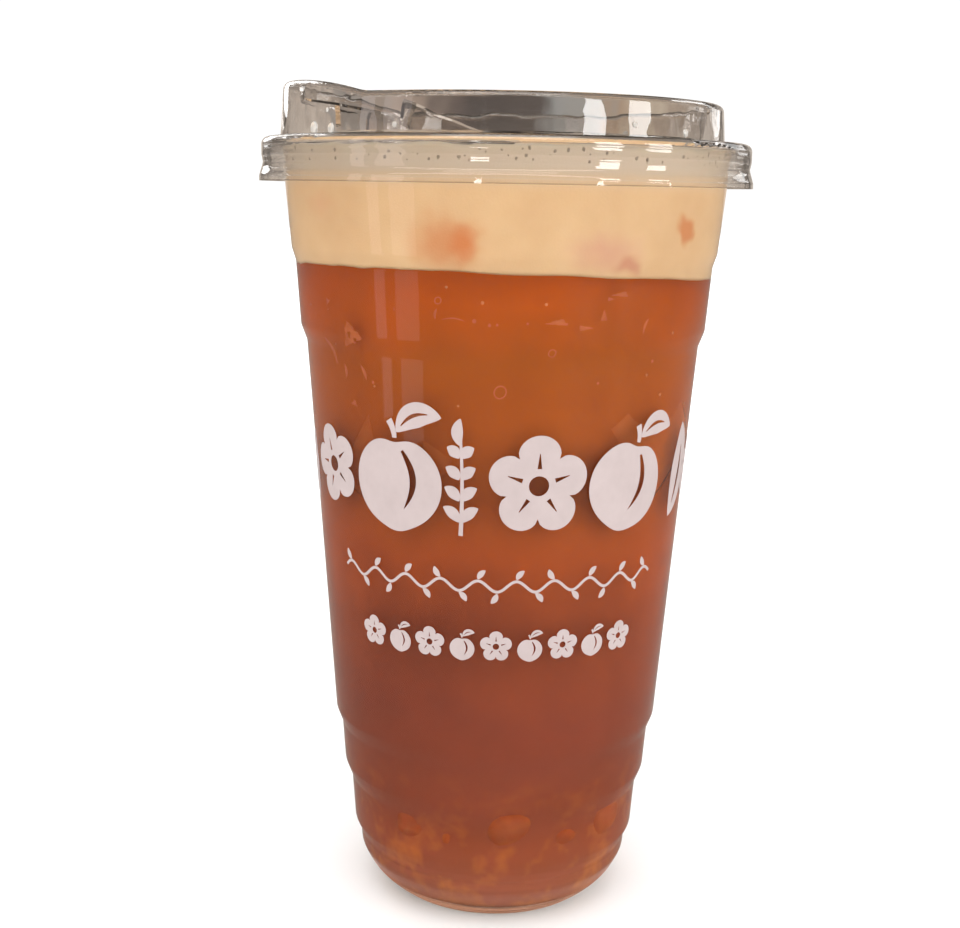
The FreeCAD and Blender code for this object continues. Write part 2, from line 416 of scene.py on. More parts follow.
class SharedEffects:
    """Shader groups that more than one material uses."""

    @staticmethod
    def mottle() -> Tree:
        """Soft uneven patches from 0 to 1 in two sizes, as in cloudy liquid, foam and fruit flesh.

        Returns:
            The group.
        """

        def build(graph: Graph, given: dict[str, Socket], result: Node) -> None:
            """Fills the group.

            Args:
                graph: The group's graph.
                given: The sockets of its inputs by name.
                result: Its output node.
            """
            frequency = graph.math("DIVIDE", 1.0, given["Size"])
            layers = []
            for factor in (1.0, 3.7):
                texture = graph.add(
                    "ShaderNodeTexNoise", noise_dimensions="4D", Detail=2.0, Vector=graph.place(),
                    Scale=graph.math("MULTIPLY", frequency, factor), W=given["Seed"],
                )
                layers.append(graph.remap(texture.outputs[0], 0.3, 0.7))
            mixed = graph.blend(given["Fine Share"], *layers)
            graph.feed(result.inputs["Patches"], mixed)

        inputs = {"Size": ("Float", 0.02), "Fine Share": ("Float", 0.3), "Seed": ("Float", 0.0)}
        return shared_tree("soft mottle", "ShaderNodeTree", inputs, {"Patches": "Float"}, build)

    @staticmethod
    def blotch() -> Tree:
        """A soft-edged uneven spot from 0 to 1 round a point, where something shows through.

        Returns:
            The group.
        """

        def build(graph: Graph, given: dict[str, Socket], result: Node) -> None:
            """Fills the group.

            Args:
                graph: The group's graph.
                given: The sockets of its inputs by name.
                result: Its output node.
            """
            texture = graph.add("ShaderNodeTexNoise", Scale=230.0, Detail=1.0, Vector=graph.place())
            level = graph.vector("SUBTRACT", texture.outputs["Color"], (0.5, 0.5, 0.5))
            moved = graph.vector("ADD", graph.place(), graph.vector("SCALE", level, 4 * MM))
            offset = graph.vector("SUBTRACT", moved, given["Centre"])
            far = graph.length(graph.vector("DIVIDE", offset, given["Reach"]))
            edge = graph.math("SUBTRACT", 1.0, given["Softness"])
            graph.feed(result.inputs["Mask"], graph.remap(far, edge, 1.15, 1.0, 0.0, smooth=True))

        inputs = {"Centre": ("Vector", (0.0, 0.0, 0.0)), "Reach": ("Vector", (0.01, 0.01, 0.01)),
                  "Softness": ("Float", 0.5)}
        return shared_tree("soft blotch", "ShaderNodeTree", inputs, {"Mask": "Float"}, build)

    @staticmethod
    def waves() -> Tree:
        """The faint waviness of formed sheet, as a height from 0 to 1.

        Returns:
            The group.
        """

        def build(graph: Graph, given: dict[str, Socket], result: Node) -> None:
            """Fills the group.

            Args:
                graph: The group's graph.
                given: The sockets of its inputs by name.
                result: Its output node.
            """
            wave = graph.add("ShaderNodeTexNoise", Detail=1.0, Vector=graph.place(),
                             Scale=graph.math("DIVIDE", 1.0, given["Size"]))
            graph.feed(result.inputs["Height"], wave.outputs[0])

        inputs = {"Size": ("Float", 0.02)}
        return shared_tree("formed waves", "ShaderNodeTree", inputs, {"Height": "Float"}, build)

    @staticmethod
    def haze() -> Tree:
        """A roughness that rises from 0 in faint cloudy marks, as on handled plastic.

        Returns:
            The group.
        """

        def build(graph: Graph, given: dict[str, Socket], result: Node) -> None:
            """Fills the group.

            Args:
                graph: The group's graph.
                given: The sockets of its inputs by name.
                result: Its output node.
            """
            marks = graph.add("ShaderNodeTexNoise", Scale=85.0, Detail=4.0, Vector=graph.place())
            cloud = graph.remap(marks.outputs[0], 0.45, 0.75)
            graph.feed(result.inputs["Roughness"], graph.math("MULTIPLY", cloud, given["Haze"]))

        inputs = {"Haze": ("Float", 0.05)}
        return shared_tree("surface haze", "ShaderNodeTree", inputs, {"Roughness": "Float"}, build)


# ---------------------------------------------------------------------------------------------
# Finishes
# ---------------------------------------------------------------------------------------------


@dataclass(frozen=True)
class Finish:
    """A named finish that can be built as a material."""

    name: str

    def start(self) -> tuple[Material, Graph, Node]:
        """Makes the material with a Principled shader on its output.

        Returns:
            The material, its graph and the Principled node.
        """
        material = bpy.data.materials.new(self.name)
        graph = fresh_graph(material)
        shader = graph.add("ShaderNodeBsdfPrincipled")
        graph.add("ShaderNodeOutputMaterial", Surface=shader.outputs[0])
        return material, graph, shader

    def let_lamps_through(self, graph: Graph, shader: Node, tint: Colour) -> None:
        """Lets light fall straight through a clear material, so that what is inside is lit.

        Args:
            graph: The material's graph.
            shader: Its Principled node.
            tint: The colour that the light keeps.
        """
        path = graph.add("ShaderNodeLightPath")
        clear = graph.add("ShaderNodeBsdfTransparent", Color=tint)
        mix = graph.add("ShaderNodeMixShader")
        sources = (path.outputs["Is Shadow Ray"], shader.outputs[0], clear.outputs[0])
        for entry, source in zip(mix.inputs, sources):
            graph.feed(entry, source)
        graph.feed(graph.output().inputs["Surface"], mix.outputs[0])

    def build(self) -> Material:
        """Makes the material."""
        return self.start()[0]


@dataclass(frozen=True)
class ClearPlastic(Finish):
    """Clear formed plastic of one tint, with faint waves and cloudy marks."""

    tint: Colour = (0.97, 0.965, 0.955)
    ior: float = 1.3
    haze: float = 0.06
    wave_height: float = 0.03 * MM
    wave_size: float = 20 * MM

    def colour(self, graph: Graph, height: Socket) -> Colour | Socket:
        """Gives the plastic's colour at a height."""
        return self.tint

    def relief(self, graph: Graph, height: Socket) -> Socket:
        """Gives how far the surface stands out at a height."""
        waves = graph.group(SharedEffects.waves(), Size=self.wave_size)
        return graph.math("MULTIPLY", waves, self.wave_height)

    def build(self) -> Material:
        """Makes the material.

        Returns:
            The material.
        """
        material, graph, shader = self.start()
        height = graph.height()
        graph.feed(shader.inputs["Base Color"], self.colour(graph, height))
        graph.feed(shader.inputs["Roughness"], graph.group(SharedEffects.haze(), Haze=self.haze))
        graph.feed(shader.inputs["Normal"], graph.bump(self.relief(graph, height), 1.0))
        shader.inputs["Transmission Weight"].default_value = 1.0
        shader.inputs["IOR"].default_value = self.ior
        self.let_lamps_through(graph, shader, self.tint)
        return material


@dataclass(frozen=True)
class LidPlastic(ClearPlastic):
    """The lid's sheet: ribs round its skirt, paler below the flange, and painted shade along its lower lip
    for the dark line at its edge.
    """

    tint: Colour = (0.945, 0.93, 0.915)
    ior: float = 1.5
    haze: float = 0.05
    wave_height: float = 0.16 * MM
    wave_size: float = 6 * MM
    skirt_tint: Colour = (0.99, 0.98, 0.965)
    flange: float = 0.0
    tint_blend: float = 3 * MM
    lip: float = 0.0
    # painted shade: the grey that the lower lip is tinted, and where that band starts and where it is full
    # above the lip, stand in for the dark line along the lip's edge
    lip_painted_shade: Colour = (0.62, 0.6, 0.57)
    lip_shade_from: float = 0.3 * MM
    lip_shade_to: float = 0.1 * MM
    rib_height: float = 0.14 * MM
    rib_pitch: float = 2.3 * MM
    rib_above_lip: float = 0.7 * MM
    rib_below_flange: float = 1.1 * MM
    rib_ease: float = 0.5 * MM

    def colour(self, graph: Graph, height: Socket) -> Socket:
        """Deepens the tint above the flange, and paints shade along the lip.

        Args:
            graph: The material's graph.
            height: The socket of the height above the foot.

        Returns:
            The colour's socket.
        """
        above = graph.remap(height, self.flange, self.flange + self.tint_blend, smooth=True)
        # painted shade: the band along the lip is blended to grey for the dark line at its edge
        lip = graph.remap(height, self.lip + self.lip_shade_from, self.lip + self.lip_shade_to)
        return graph.blend(lip, graph.blend(above, self.skirt_tint, self.tint), self.lip_painted_shade)

    def relief(self, graph: Graph, height: Socket) -> Socket:
        """Adds the skirt's ribs to the waves.

        Args:
            graph: The material's graph.
            height: The socket of the height above the foot.

        Returns:
            The relief's socket.
        """
        waves = super().relief(graph, height)
        rib = graph.math("SINE", graph.math("MULTIPLY", height, 2 * math.pi / self.rib_pitch))
        start = self.lip + self.rib_above_lip
        end = self.flange - self.rib_below_flange
        low = graph.remap(height, start, start + self.rib_ease, 0.0, self.rib_height / 2)
        high = graph.remap(height, end - self.rib_ease, end, 1.0, 0.0)
        return graph.math("ADD", waves, graph.math("MULTIPLY", rib, graph.math("MULTIPLY", low, high)))


@dataclass(frozen=True)
class AmberTea(Finish):
    """Clear amber tea, deeper the further one looks through it."""

    tint: Colour = (1.0, 0.985, 0.96)
    ior: float = 1.33
    absorbed: Colour = (0.96, 0.72, 0.2)
    depth: float = 200.0

    def build(self) -> Material:
        """Makes the material.

        Returns:
            The material.
        """
        material, graph, shader = self.start()
        graph.feed(shader.inputs["Base Color"], self.tint)
        shader.inputs["Roughness"].default_value = 0.0
        shader.inputs["Transmission Weight"].default_value = 1.0
        shader.inputs["IOR"].default_value = self.ior
        self.let_lamps_through(graph, shader, (1.0, 1.0, 1.0))
        volume = graph.add("ShaderNodeVolumeAbsorption", Color=self.absorbed, Density=self.depth)
        graph.feed(graph.output().inputs["Volume"], volume.outputs[0])
        return material


@dataclass(frozen=True)
class CloudyTea(Finish):
    """Cloudy tea: orange under the cream, red-brown in the middle, paler where the fruit lies."""

    foot: float = 4 * MM
    top: float = 133 * MM
    sway: float = 0.05
    lighter: Colour = (1.14, 1.12, 1.1)
    darker: Colour = (0.86, 0.82, 0.8)
    pulp: Colour = linear(222, 152, 96)
    pulp_share: float = 0.55
    stops: Stops = (
        (0.00, linear(168, 108, 94)),
        (0.08, linear(158, 97, 98)),
        (0.18, linear(146, 88, 101)),
        (0.32, linear(141, 82, 97)),
        (0.46, linear(152, 87, 80)),
        (0.58, linear(180, 103, 67)),
        (0.72, linear(182, 111, 51)),
        (0.86, linear(179, 111, 31)),
        (1.00, linear(192, 106, 4)),
    )

    def build(self) -> Material:
        """Makes the material.

        Returns:
            The material.
        """
        material, graph, shader = self.start()
        height = graph.remap(graph.height(), self.foot, self.top)
        large = graph.group(SharedEffects.mottle(), Size=30 * MM, Fine_Share=0.25, Seed=3.0)
        small = graph.group(SharedEffects.mottle(), Size=9 * MM, Fine_Share=0.35, Seed=8.0)
        sway = graph.remap(large, 0.0, 1.0, -self.sway, self.sway)
        colour = graph.ramp(graph.math("ADD", height, sway), self.stops)
        darker, lighter = (graph.blend(1.0, colour, tone, "MULTIPLY") for tone in (self.darker, self.lighter))
        colour = graph.blend(large, darker, lighter)
        pulp = graph.math("MULTIPLY", graph.remap(height, 0.24, 0.05), graph.remap(small, 0.45, 0.9))
        colour = graph.blend(graph.math("MULTIPLY", pulp, self.pulp_share), colour, self.pulp)
        graph.feed(shader.inputs["Base Color"], colour)
        shader.inputs["Roughness"].default_value = 0.6
        shader.inputs["Specular IOR Level"].default_value = 0.05
        return material


@dataclass(frozen=True)
class Blotch:
    """A spot in the cream where fruit shows through."""

    centre: Place
    reach: Place
    softness: float
    tone: Colour


@dataclass(frozen=True)
class CreamFoam(Finish):
    """Soft tan cream foam with fine pores, blotches, and a paler film at the wall near its top."""

    colour: Colour = linear(225, 190, 145)
    shade: Colour = linear(213, 174, 130)
    film: Colour = linear(203, 187, 167)
    film_from: float = 147.0 * MM
    film_to: float = 152.5 * MM
    wall_from: float = 41.5 * MM
    wall_to: float = 44.0 * MM
    blotches: tuple[Blotch, ...] = (
        Blotch((-0.0108, -0.0425, 0.1382), (0.0078, 0.012, 0.0062), 0.90, linear(207, 146, 98)),
        Blotch((-0.0072, -0.0425, 0.1387), (0.0034, 0.012, 0.0042), 0.85, linear(206, 130, 78)),
        Blotch((0.0180, -0.0394, 0.1370), (0.0092, 0.012, 0.0046), 0.98, linear(212, 164, 132)),
        Blotch((0.0224, -0.0370, 0.1346), (0.0034, 0.012, 0.0022), 0.80, linear(204, 148, 116)),
        Blotch((0.0335, -0.0281, 0.1410), (0.0018, 0.008, 0.0036), 0.70, linear(206, 138, 88)),
        Blotch((-0.0340, -0.0280, 0.1446), (0.0044, 0.010, 0.0026), 0.95, linear(216, 172, 130)),
    )

    def build(self) -> Material:
        """Makes the material.

        Returns:
            The material.
        """
        material, graph, shader = self.start()
        clouds = graph.group(SharedEffects.mottle(), Size=16 * MM, Fine_Share=0.3, Seed=1.0)
        colour = graph.blend(clouds, self.shade, self.colour)
        radius = graph.length(graph.vector("MULTIPLY", graph.place(), (1.0, 1.0, 0.0)))
        wall = graph.remap(radius, self.wall_from, self.wall_to)
        high = graph.remap(graph.height(), self.film_from, self.film_to, smooth=True)
        colour = graph.blend(graph.math("MULTIPLY", wall, high), colour, self.film)
        for spot in self.blotches:
            mask = graph.group(SharedEffects.blotch(), Centre=spot.centre, Reach=spot.reach,
                               Softness=spot.softness)
            colour = graph.blend(mask, colour, spot.tone)
        graph.feed(shader.inputs["Base Color"], colour)
        pores = graph.add("ShaderNodeTexNoise", Scale=2200.0, Detail=2.0, Vector=graph.place())
        graph.feed(shader.inputs["Normal"], graph.bump(pores.outputs[0], 0.1 * MM, 0.4))
        shader.inputs["Roughness"].default_value = 0.55
        shader.inputs["Specular IOR Level"].default_value = 0.2
        shader.inputs["Subsurface Weight"].default_value = 0.15
        shader.inputs["Subsurface Radius"].default_value = (1.0, 0.7, 0.4)
        shader.inputs["Subsurface Scale"].default_value = 2 * MM
        return material


@dataclass(frozen=True)
class Mottled(Finish):
    """A finish with soft uneven patches between two colours, and clear where that is asked for."""

    colour: Colour = (0.8, 0.8, 0.8)
    shade: Colour = (0.7, 0.7, 0.7)
    roughness: float = 0.5
    size: float = 10 * MM
    gloss: float = 0.5
    subsurface: float = 0.0
    clear: float = 0.0
    ior: float = 1.33
    grain: float = 0.0

    def build(self) -> Material:
        """Makes the material.

        Returns:
            The material.
        """
        material, graph, shader = self.start()
        clouds = graph.group(SharedEffects.mottle(), Size=self.size, Fine_Share=0.35, Seed=5.0)
        graph.feed(shader.inputs["Base Color"], graph.blend(clouds, self.shade, self.colour))
        if self.grain:
            graph.feed(shader.inputs["Normal"], graph.bump(clouds, self.grain))
        for socket, value in (("Roughness", self.roughness), ("Specular IOR Level", self.gloss),
                              ("Subsurface Weight", self.subsurface), ("Subsurface Scale", 3 * MM),
                              ("Transmission Weight", self.clear), ("IOR", self.ior)):
            shader.inputs[socket].default_value = value
        if self.clear:
            self.let_lamps_through(graph, shader, (0.97, 0.97, 0.97))
        return material


# ---------------------------------------------------------------------------------------------
# The cup's wall, read from the frame
# ---------------------------------------------------------------------------------------------


class CupWall:
    """The inner and outer radius of the cup at any height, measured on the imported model."""

    STEP = 0.25 * MM
    DIRECTIONS = 9
    FIRST_DIRECTION = 0.013  # radians, so that no ray runs along an edge of the mesh
    GOLDEN_ANGLE = 2.39996

    def __init__(self, cup: Piece) -> None:
        """Measures the cup once, from its floor to its rim.

        Args:
            cup: The cup's node.
        """
        tree = ray_target(cup)
        self.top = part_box("cup")[1].z
        self.floor = tree.ray_cast(Vector((0.0, 0.0, self.top)), Vector((0.0, 0.0, -1.0)))[0].z
        self._inner = self._measure(tree, outside=False)
        self._outer = self._measure(tree, outside=True)

    def _measure(self, tree: BVHTree, outside: bool) -> list[float]:
        """Measures the cup at each step of height.

        Args:
            tree: The cup's faces.
            outside: Whether rays come from outside, and not from the axis.

        Returns:
            The largest radius found at each height.
        """
        table = []
        for i in range(int(self.top / self.STEP)):
            level = Vector((0.0, 0.0, (i + 0.5) * self.STEP))
            widest = 0.0
            for k in range(self.DIRECTIONS):
                angle = self.FIRST_DIRECTION + self.GOLDEN_ANGLE * k
                out = Vector((math.cos(angle), math.sin(angle), 0.0))
                hit = tree.ray_cast(level + out, -out)[0] if outside else tree.ray_cast(level, out)[0]
                widest = max(widest, hit.xy.length if hit else 0.0)
            table.append(widest)
        return table

    def _look_up(self, table: list[float], height: float) -> float:
        """Reads a table of radii, straight between its entries.

        Args:
            table: A radius for each step of height.
            height: The height to read it at.

        Returns:
            The radius.
        """
        at = min(max(height / self.STEP - 0.5, 0.0), len(table) - 1.001)
        low = int(at)
        share = at - low
        return table[low] * (1 - share) + table[low + 1] * share

    def inner(self, height: float) -> float:
        """Gives the inner radius at a height."""
        return self._look_up(self._inner, height)

    def outer(self, height: float) -> float:
        """Gives the outer radius at a height."""
        return self._look_up(self._outer, height)


def lathe(name: str, rows: list[list[Vector]]) -> Piece:
    """Makes a closed skin from rings of points round the axis, the lowest and innermost first.

    Args:
        name: The piece's name.
        rows: Rings of points, each anticlockwise from above and with as many points as the others.
            The first and the last ring are closed at their middle.

    Returns:
        The piece.
    """
    count = len(rows[0])
    vertices = [point for row in rows for point in row]
    faces = joined_rows(len(rows), count)
    for row, base, upside in ((rows[0], 0, False), (rows[-1], (len(rows) - 1) * count, True)):
        tip = len(vertices)
        vertices.append(sum(row, Vector()) / count)
        for j in range(count):
            k = (j + 1) % count
            faces.append((base + j, base + k, tip) if upside else (base + k, base + j, tip))
    return make_object(name, vertices, faces)


# ---------------------------------------------------------------------------------------------
# Drink
# ---------------------------------------------------------------------------------------------


class TeaLine:
    """Where the tea meets the cream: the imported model's tilted plane with a slight waviness."""

    WAVE = 0.35 * MM
    WAVES_PER_METRE = 90.0
    FROTH_PER_METRE = 420.0
    FROTH_SHARE = 0.9
    FROTH_EDGE = 40 * MM  # how far to the left the froth is at its strongest
    FROTH_LEAST = 0.15

    def __init__(self) -> None:
        """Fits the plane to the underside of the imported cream."""
        mesh = bpy.data.objects["cream"].data
        face = max((p for p in mesh.polygons if p.normal.z < -0.9), key=lambda p: p.area)
        normal = face.normal
        self.slope = (-normal.x / normal.z, -normal.y / normal.z)
        self.middle = face.center.z - face.center.x * self.slope[0] - face.center.y * self.slope[1]

    def at(self, x: float, y: float) -> float:
        """Gives the line's height at a place.

        Args:
            x: The place across.
            y: The place in depth.

        Returns:
            The height.
        """
        plane = self.middle + self.slope[0] * x + self.slope[1] * y
        broad = noise.noise(Vector((x * self.WAVES_PER_METRE, y * self.WAVES_PER_METRE, 2.0)))
        froth = noise.noise(Vector((x * self.FROTH_PER_METRE, y * self.FROTH_PER_METRE, 7.0)))
        left = min(max(-x / self.FROTH_EDGE, self.FROTH_LEAST), 1.0)
        return plane + self.WAVE * (broad + self.FROTH_SHARE * left * froth)


@dataclass
class Drink:
    """The tea, clear at its skin and cloudy inside, with the cream that floats on it."""

    wall: CupWall
    line: TeaLine
    around: int = 192
    bite: float = 0.35 * MM
    foam_bite: float = 0.30 * MM
    skin: float = 4.0 * MM
    skin_at_foot: float = 0.2  # share of the skin
    skin_blend: float = 16 * MM
    floor_gap: float = 0.6 * MM
    floor_bend: float = 0.2 * MM
    core_rise: float = 0.1 * MM
    line_blend: float = 6 * MM
    evened_over: tuple[int, ...] = (-6, -4, -2, 0, 2, 4, 6)  # mm
    fine_step: float = 0.4 * MM
    coarse_step: float = 1.6 * MM
    bend: float = 0.012 * MM
    heel: float = 12 * MM
    cap_shares: tuple[float, ...] = (0.9, 0.7, 0.45, 0.2)
    film_height: float = 3.2 * MM
    film_wave: float = 0.5 * MM
    film_waves: float = 9.0
    foam_rows: int = 28
    overlap: float = 0.2 * MM
    swell: float = 0.3 * MM
    swells_per_metre: float = 80.0
    foam_top: tuple[Point, ...] = (
        (0.985, 0.25), (0.975, 0.9), (0.955, 1.0), (0.8, 1.0), (0.6, 1.0), (0.4, 1.0), (0.2, 1.0),
    )

    def ring(self, height: Callable[[float], float], radius: Callable[[float], float]) -> list[Vector]:
        """Makes a ring of points.

        Args:
            height: Gives the height at an angle.
            radius: Gives the radius at a height.

        Returns:
            The points, anticlockwise from above.
        """
        points = []
        for angle in round_points(self.around):
            z = height(angle)
            points.append(Vector((radius(z) * math.cos(angle), radius(z) * math.sin(angle), z)))
        return points

    def shrunk(self, ring: list[Vector], share: float, drop: float) -> list[Vector]:
        """Copies a ring nearer to the axis, onto the tea line or below it.

        Args:
            ring: The ring.
            share: The share of its radius that the copy has.
            drop: How far below the tea line the copy lies.

        Returns:
            The copy.
        """
        points = [(p.x * share, p.y * share) for p in ring]
        return [Vector((x, y, self.line.at(x, y) - drop)) for x, y in points]

    def edge(self, angle: float) -> float:
        """Gives the tea line's height at the wall."""
        radius = self.wall.inner(self.line.middle)
        return self.line.at(radius * math.cos(angle), radius * math.sin(angle))

    def heights(self, low: float, high: float) -> list[float]:
        """Spaces rising heights, closer together where the wall bends.

        Args:
            low: The first.
            high: The last.

        Returns:
            The heights.
        """
        inner = self.wall.inner
        fine, coarse = self.fine_step, self.coarse_step
        found = [low]
        while found[-1] < high:
            z = found[-1]
            near = inner(z + fine) - inner(z)
            far = inner(z + coarse) - inner(z + coarse - fine)
            step = fine if abs(near - far) > self.bend or z < self.heel else coarse
            found.append(min(z + step, high))
        return found

    def tea(self, name: str, inset: float, drop: float) -> Piece:
        """Makes a body of tea that follows the wall up to the tea line.

        Args:
            name: The piece's name.
            inset: How far inside the cup's inner surface it stays.
            drop: How far its top stays below the tea line.

        Returns:
            The piece.
        """
        floor = self.wall.floor + min(inset, self.floor_gap)
        level = self.line.middle - self.line_blend

        def radius(z: float) -> float:
            """Gives the body's radius, evened over the wall's steps where it stays inside.

            Args:
                z: The height.

            Returns:
                The radius.
            """
            rise = min((z - floor) / self.skin_blend, 1.0)
            here = self.wall.inner(max(z, self.wall.floor + self.floor_bend))
            if inset <= 0:
                return here - inset
            evened = sum(self.wall.inner(z + step * MM) for step in self.evened_over) / len(self.evened_over)
            ease = rise * rise * (3 - 2 * rise)
            share = self.skin_at_foot + (1 - self.skin_at_foot) * ease
            return here + (evened - here) * rise - inset * share

        start = radius(floor)
        rows = [self.ring(lambda _: floor, lambda _, s=share: start * s) for share in (0.25, 0.5, 0.75, 0.9)]
        rows += [self.ring(lambda _, z=z: z, radius) for z in self.heights(floor, level)]
        for i in range(1, 9):
            rows.append(self.ring(lambda a, s=i / 8: level + s * (self.edge(a) - drop - level), radius))
        rim = rows[-1]
        rows += [self.shrunk(rim, share, drop) for share in self.cap_shares]
        return lathe(name, rows)

    def cream(self) -> Piece:
        """Makes the cream, with a thin film that it left on the wall above its top.

        Returns:
            The piece.
        """
        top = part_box("cream")[1].z

        def film(angle: float) -> float:
            """Gives the film's upper edge at an angle."""
            place = Vector((math.cos(angle) * self.film_waves, math.sin(angle) * self.film_waves, 9.0))
            return top + self.film_height + self.film_wave * noise.noise(place)

        def radius(z: float) -> float:
            """Gives the foam's radius at a height."""
            return self.wall.inner(z) + self.foam_bite

        rows = []
        for i in range(self.foam_rows + 1):
            rows.append(self.ring(
                lambda a, s=i / self.foam_rows: (self.edge(a) - self.overlap) * (1 - s) + s * film(a), radius
            ))
        base, rim = rows[0], rows[-1]
        lower = [self.shrunk(base, share, self.overlap) for share in reversed(self.cap_shares)]
        upper = []
        for share, sink in self.foam_top:
            ring = []
            for p in rim:
                x, y = p.x * share, p.y * share
                wave = noise.noise(Vector((x * self.swells_per_metre, y * self.swells_per_metre, 4.0)))
                level = top - self.swell + self.swell * wave
                ring.append(Vector((x, y, p.z + (level - p.z) * sink)))
            upper.append(ring)
        return lathe("cream_foam", lower + rows + upper)

    def build(self) -> None:
        """Makes the tea and the cream, dresses them and puts them in place of their nodes."""
        clear = self.tea("clear_tea", -self.bite, 0.0)
        core = self.tea("cloudy_tea", self.skin, -self.core_rise)
        foam = self.cream()
        clear.data.materials.append(AmberTea("amber tea").build())
        core.data.materials.append(CloudyTea("cloudy tea").build())
        foam.data.materials.append(CreamFoam("cream foam").build())
        settle(clear, Slot.TEA, "tea")
        settle(core, Slot.TEA)
        settle(foam, Slot.CREAM, "cream")


# ---------------------------------------------------------------------------------------------
# Geometry Nodes: scattered pieces, repeated motifs, and flat shapes wrapped round the cup
# ---------------------------------------------------------------------------------------------


class Growth:
    """The Geometry Nodes groups, and how they are run and baked."""

    BALL_RADIUS = 0.58  # of a ball about as large as a block of side 1

    @staticmethod
    def dress(graph: Graph, shape: Socket, given: dict[str, Socket], result: Node) -> None:
        """Gives a shape the finish that the group was given, and puts it out."""
        dressed = graph.add("GeometryNodeSetMaterial", Geometry=shape, Material=given["Finish"])
        graph.feed(result.inputs[0], dressed.outputs[0])

    @staticmethod
    def scatter() -> Tree:
        """Scatters rounded blocks or bubbles over a hidden surface.

        Returns:
            The group.
        """

        def build(graph: Graph, given: dict[str, Socket], result: Node) -> None:
            """Fills the group.

            Args:
                graph: The group's graph.
                given: The sockets of its inputs by name.
                result: Its output node.
            """
            points = graph.add("GeometryNodeDistributePointsOnFaces", distribute_method="POISSON",
                               Mesh=given["Geometry"], Distance_Min=given["Spacing"],
                               Density_Max=given["Density"], Seed=given["Seed"])
            block = graph.add("GeometryNodeMeshCube", Vertices_X=given["Detail"], Vertices_Y=given["Detail"],
                              Vertices_Z=given["Detail"]).outputs["Mesh"]
            here = graph.add("GeometryNodeInputPosition").outputs[0]
            ball = graph.vector("SCALE", graph.vector("NORMALIZE", here), Growth.BALL_RADIUS)
            shape = graph.add("GeometryNodeSetPosition", Geometry=block,
                              Position=graph.between(given["Roundness"], here, ball))
            size = graph.add("FunctionNodeRandomValue", data_type="FLOAT", Seed=given["Seed"])
            graph.feed(size.inputs[2], given["Smallest"])
            graph.feed(size.inputs[3], given["Largest"])
            scale = graph.add("ShaderNodeCombineXYZ", X=size.outputs[1], Y=size.outputs[1],
                              Z=graph.math("MULTIPLY", size.outputs[1], given["Flatness"]))
            spin = graph.add("FunctionNodeRandomValue", data_type="FLOAT_VECTOR",
                             Seed=graph.math("ADD", given["Seed"], 5.0))
            reach = graph.add("ShaderNodeCombineXYZ", X=given["Tumble"], Y=given["Tumble"], Z=3.14).outputs[0]
            graph.feed(spin.inputs[0], graph.vector("SCALE", reach, -1.0))
            graph.feed(spin.inputs[1], reach)
            turn = graph.add("FunctionNodeRotateRotation", rotation_space="LOCAL")
            graph.feed(turn.inputs[0], points.outputs["Rotation"])
            graph.feed(turn.inputs[1], spin.outputs[0])
            copies = graph.add("GeometryNodeInstanceOnPoints", Points=points.outputs["Points"],
                               Instance=shape.outputs[0], Rotation=turn.outputs[0], Scale=scale.outputs[0])
            real = graph.add("GeometryNodeRealizeInstances", Geometry=copies.outputs[0])
            rough = graph.add("ShaderNodeTexNoise", Detail=1.0,
                              Scale=graph.math("DIVIDE", 1.3, given["Largest"]),
                              Vector=graph.add("GeometryNodeInputPosition").outputs[0])
            push = graph.math("MULTIPLY", graph.math("SUBTRACT", rough.outputs[0], 0.5), given["Wobble"])
            normal = graph.add("GeometryNodeInputNormal").outputs[0]
            moved = graph.add("GeometryNodeSetPosition", Geometry=real.outputs[0],
                              Offset=graph.vector("SCALE", normal, push))
            smooth = graph.add("GeometryNodeSetShadeSmooth", Geometry=moved.outputs[0])
            Growth.dress(graph, smooth.outputs[0], given, result)

        inputs = {
            "Geometry": ("Geometry", None), "Finish": ("Material", None), "Seed": ("Int", 1),
            "Spacing": ("Float", 0.01), "Density": ("Float", 1000.0), "Smallest": ("Float", 0.001),
            "Largest": ("Float", 0.002), "Tumble": ("Float", 0.5), "Flatness": ("Float", 1.0),
            "Roundness": ("Float", 0.3), "Wobble": ("Float", 0.0), "Detail": ("Int", 5),
        }
        return shared_tree("scatter pieces", "GeometryNodeTree", inputs, {"Geometry": "Geometry"}, build)

    @staticmethod
    def repeat() -> Tree:
        """Repeats a flat motif along a line.

        Returns:
            The group.
        """

        def build(graph: Graph, given: dict[str, Socket], result: Node) -> None:
            """Fills the group.

            Args:
                graph: The group's graph.
                given: The sockets of its inputs by name.
                result: Its output node.
            """
            line = graph.add("GeometryNodeMeshLine", Count=given["Count"],
                             Start_Location=graph.add("ShaderNodeCombineXYZ", X=given["Start"]).outputs[0],
                             Offset=graph.add("ShaderNodeCombineXYZ", X=given["Pitch"]).outputs[0])
            motif = graph.add("GeometryNodeObjectInfo", Object=given["Motif"])
            copies = graph.add("GeometryNodeInstanceOnPoints", Points=line.outputs[0],
                               Instance=motif.outputs["Geometry"])
            real = graph.add("GeometryNodeRealizeInstances", Geometry=copies.outputs[0])
            joined = graph.add("GeometryNodeJoinGeometry")
            for shape in (given["Geometry"], real.outputs[0]):
                graph.feed(joined.inputs[0], shape)
            graph.feed(result.inputs[0], joined.outputs[0])

        inputs = {"Geometry": ("Geometry", None), "Motif": ("Object", None), "Count": ("Int", 5),
                  "Start": ("Float", 0.0), "Pitch": ("Float", 0.01)}
        return shared_tree("repeat motif", "GeometryNodeTree", inputs, {"Geometry": "Geometry"}, build)

    @staticmethod
    def wrap() -> Tree:
        """Wraps flat shapes round the cup: across becomes round, up stays up, depth points out.

        Returns:
            The group.
        """

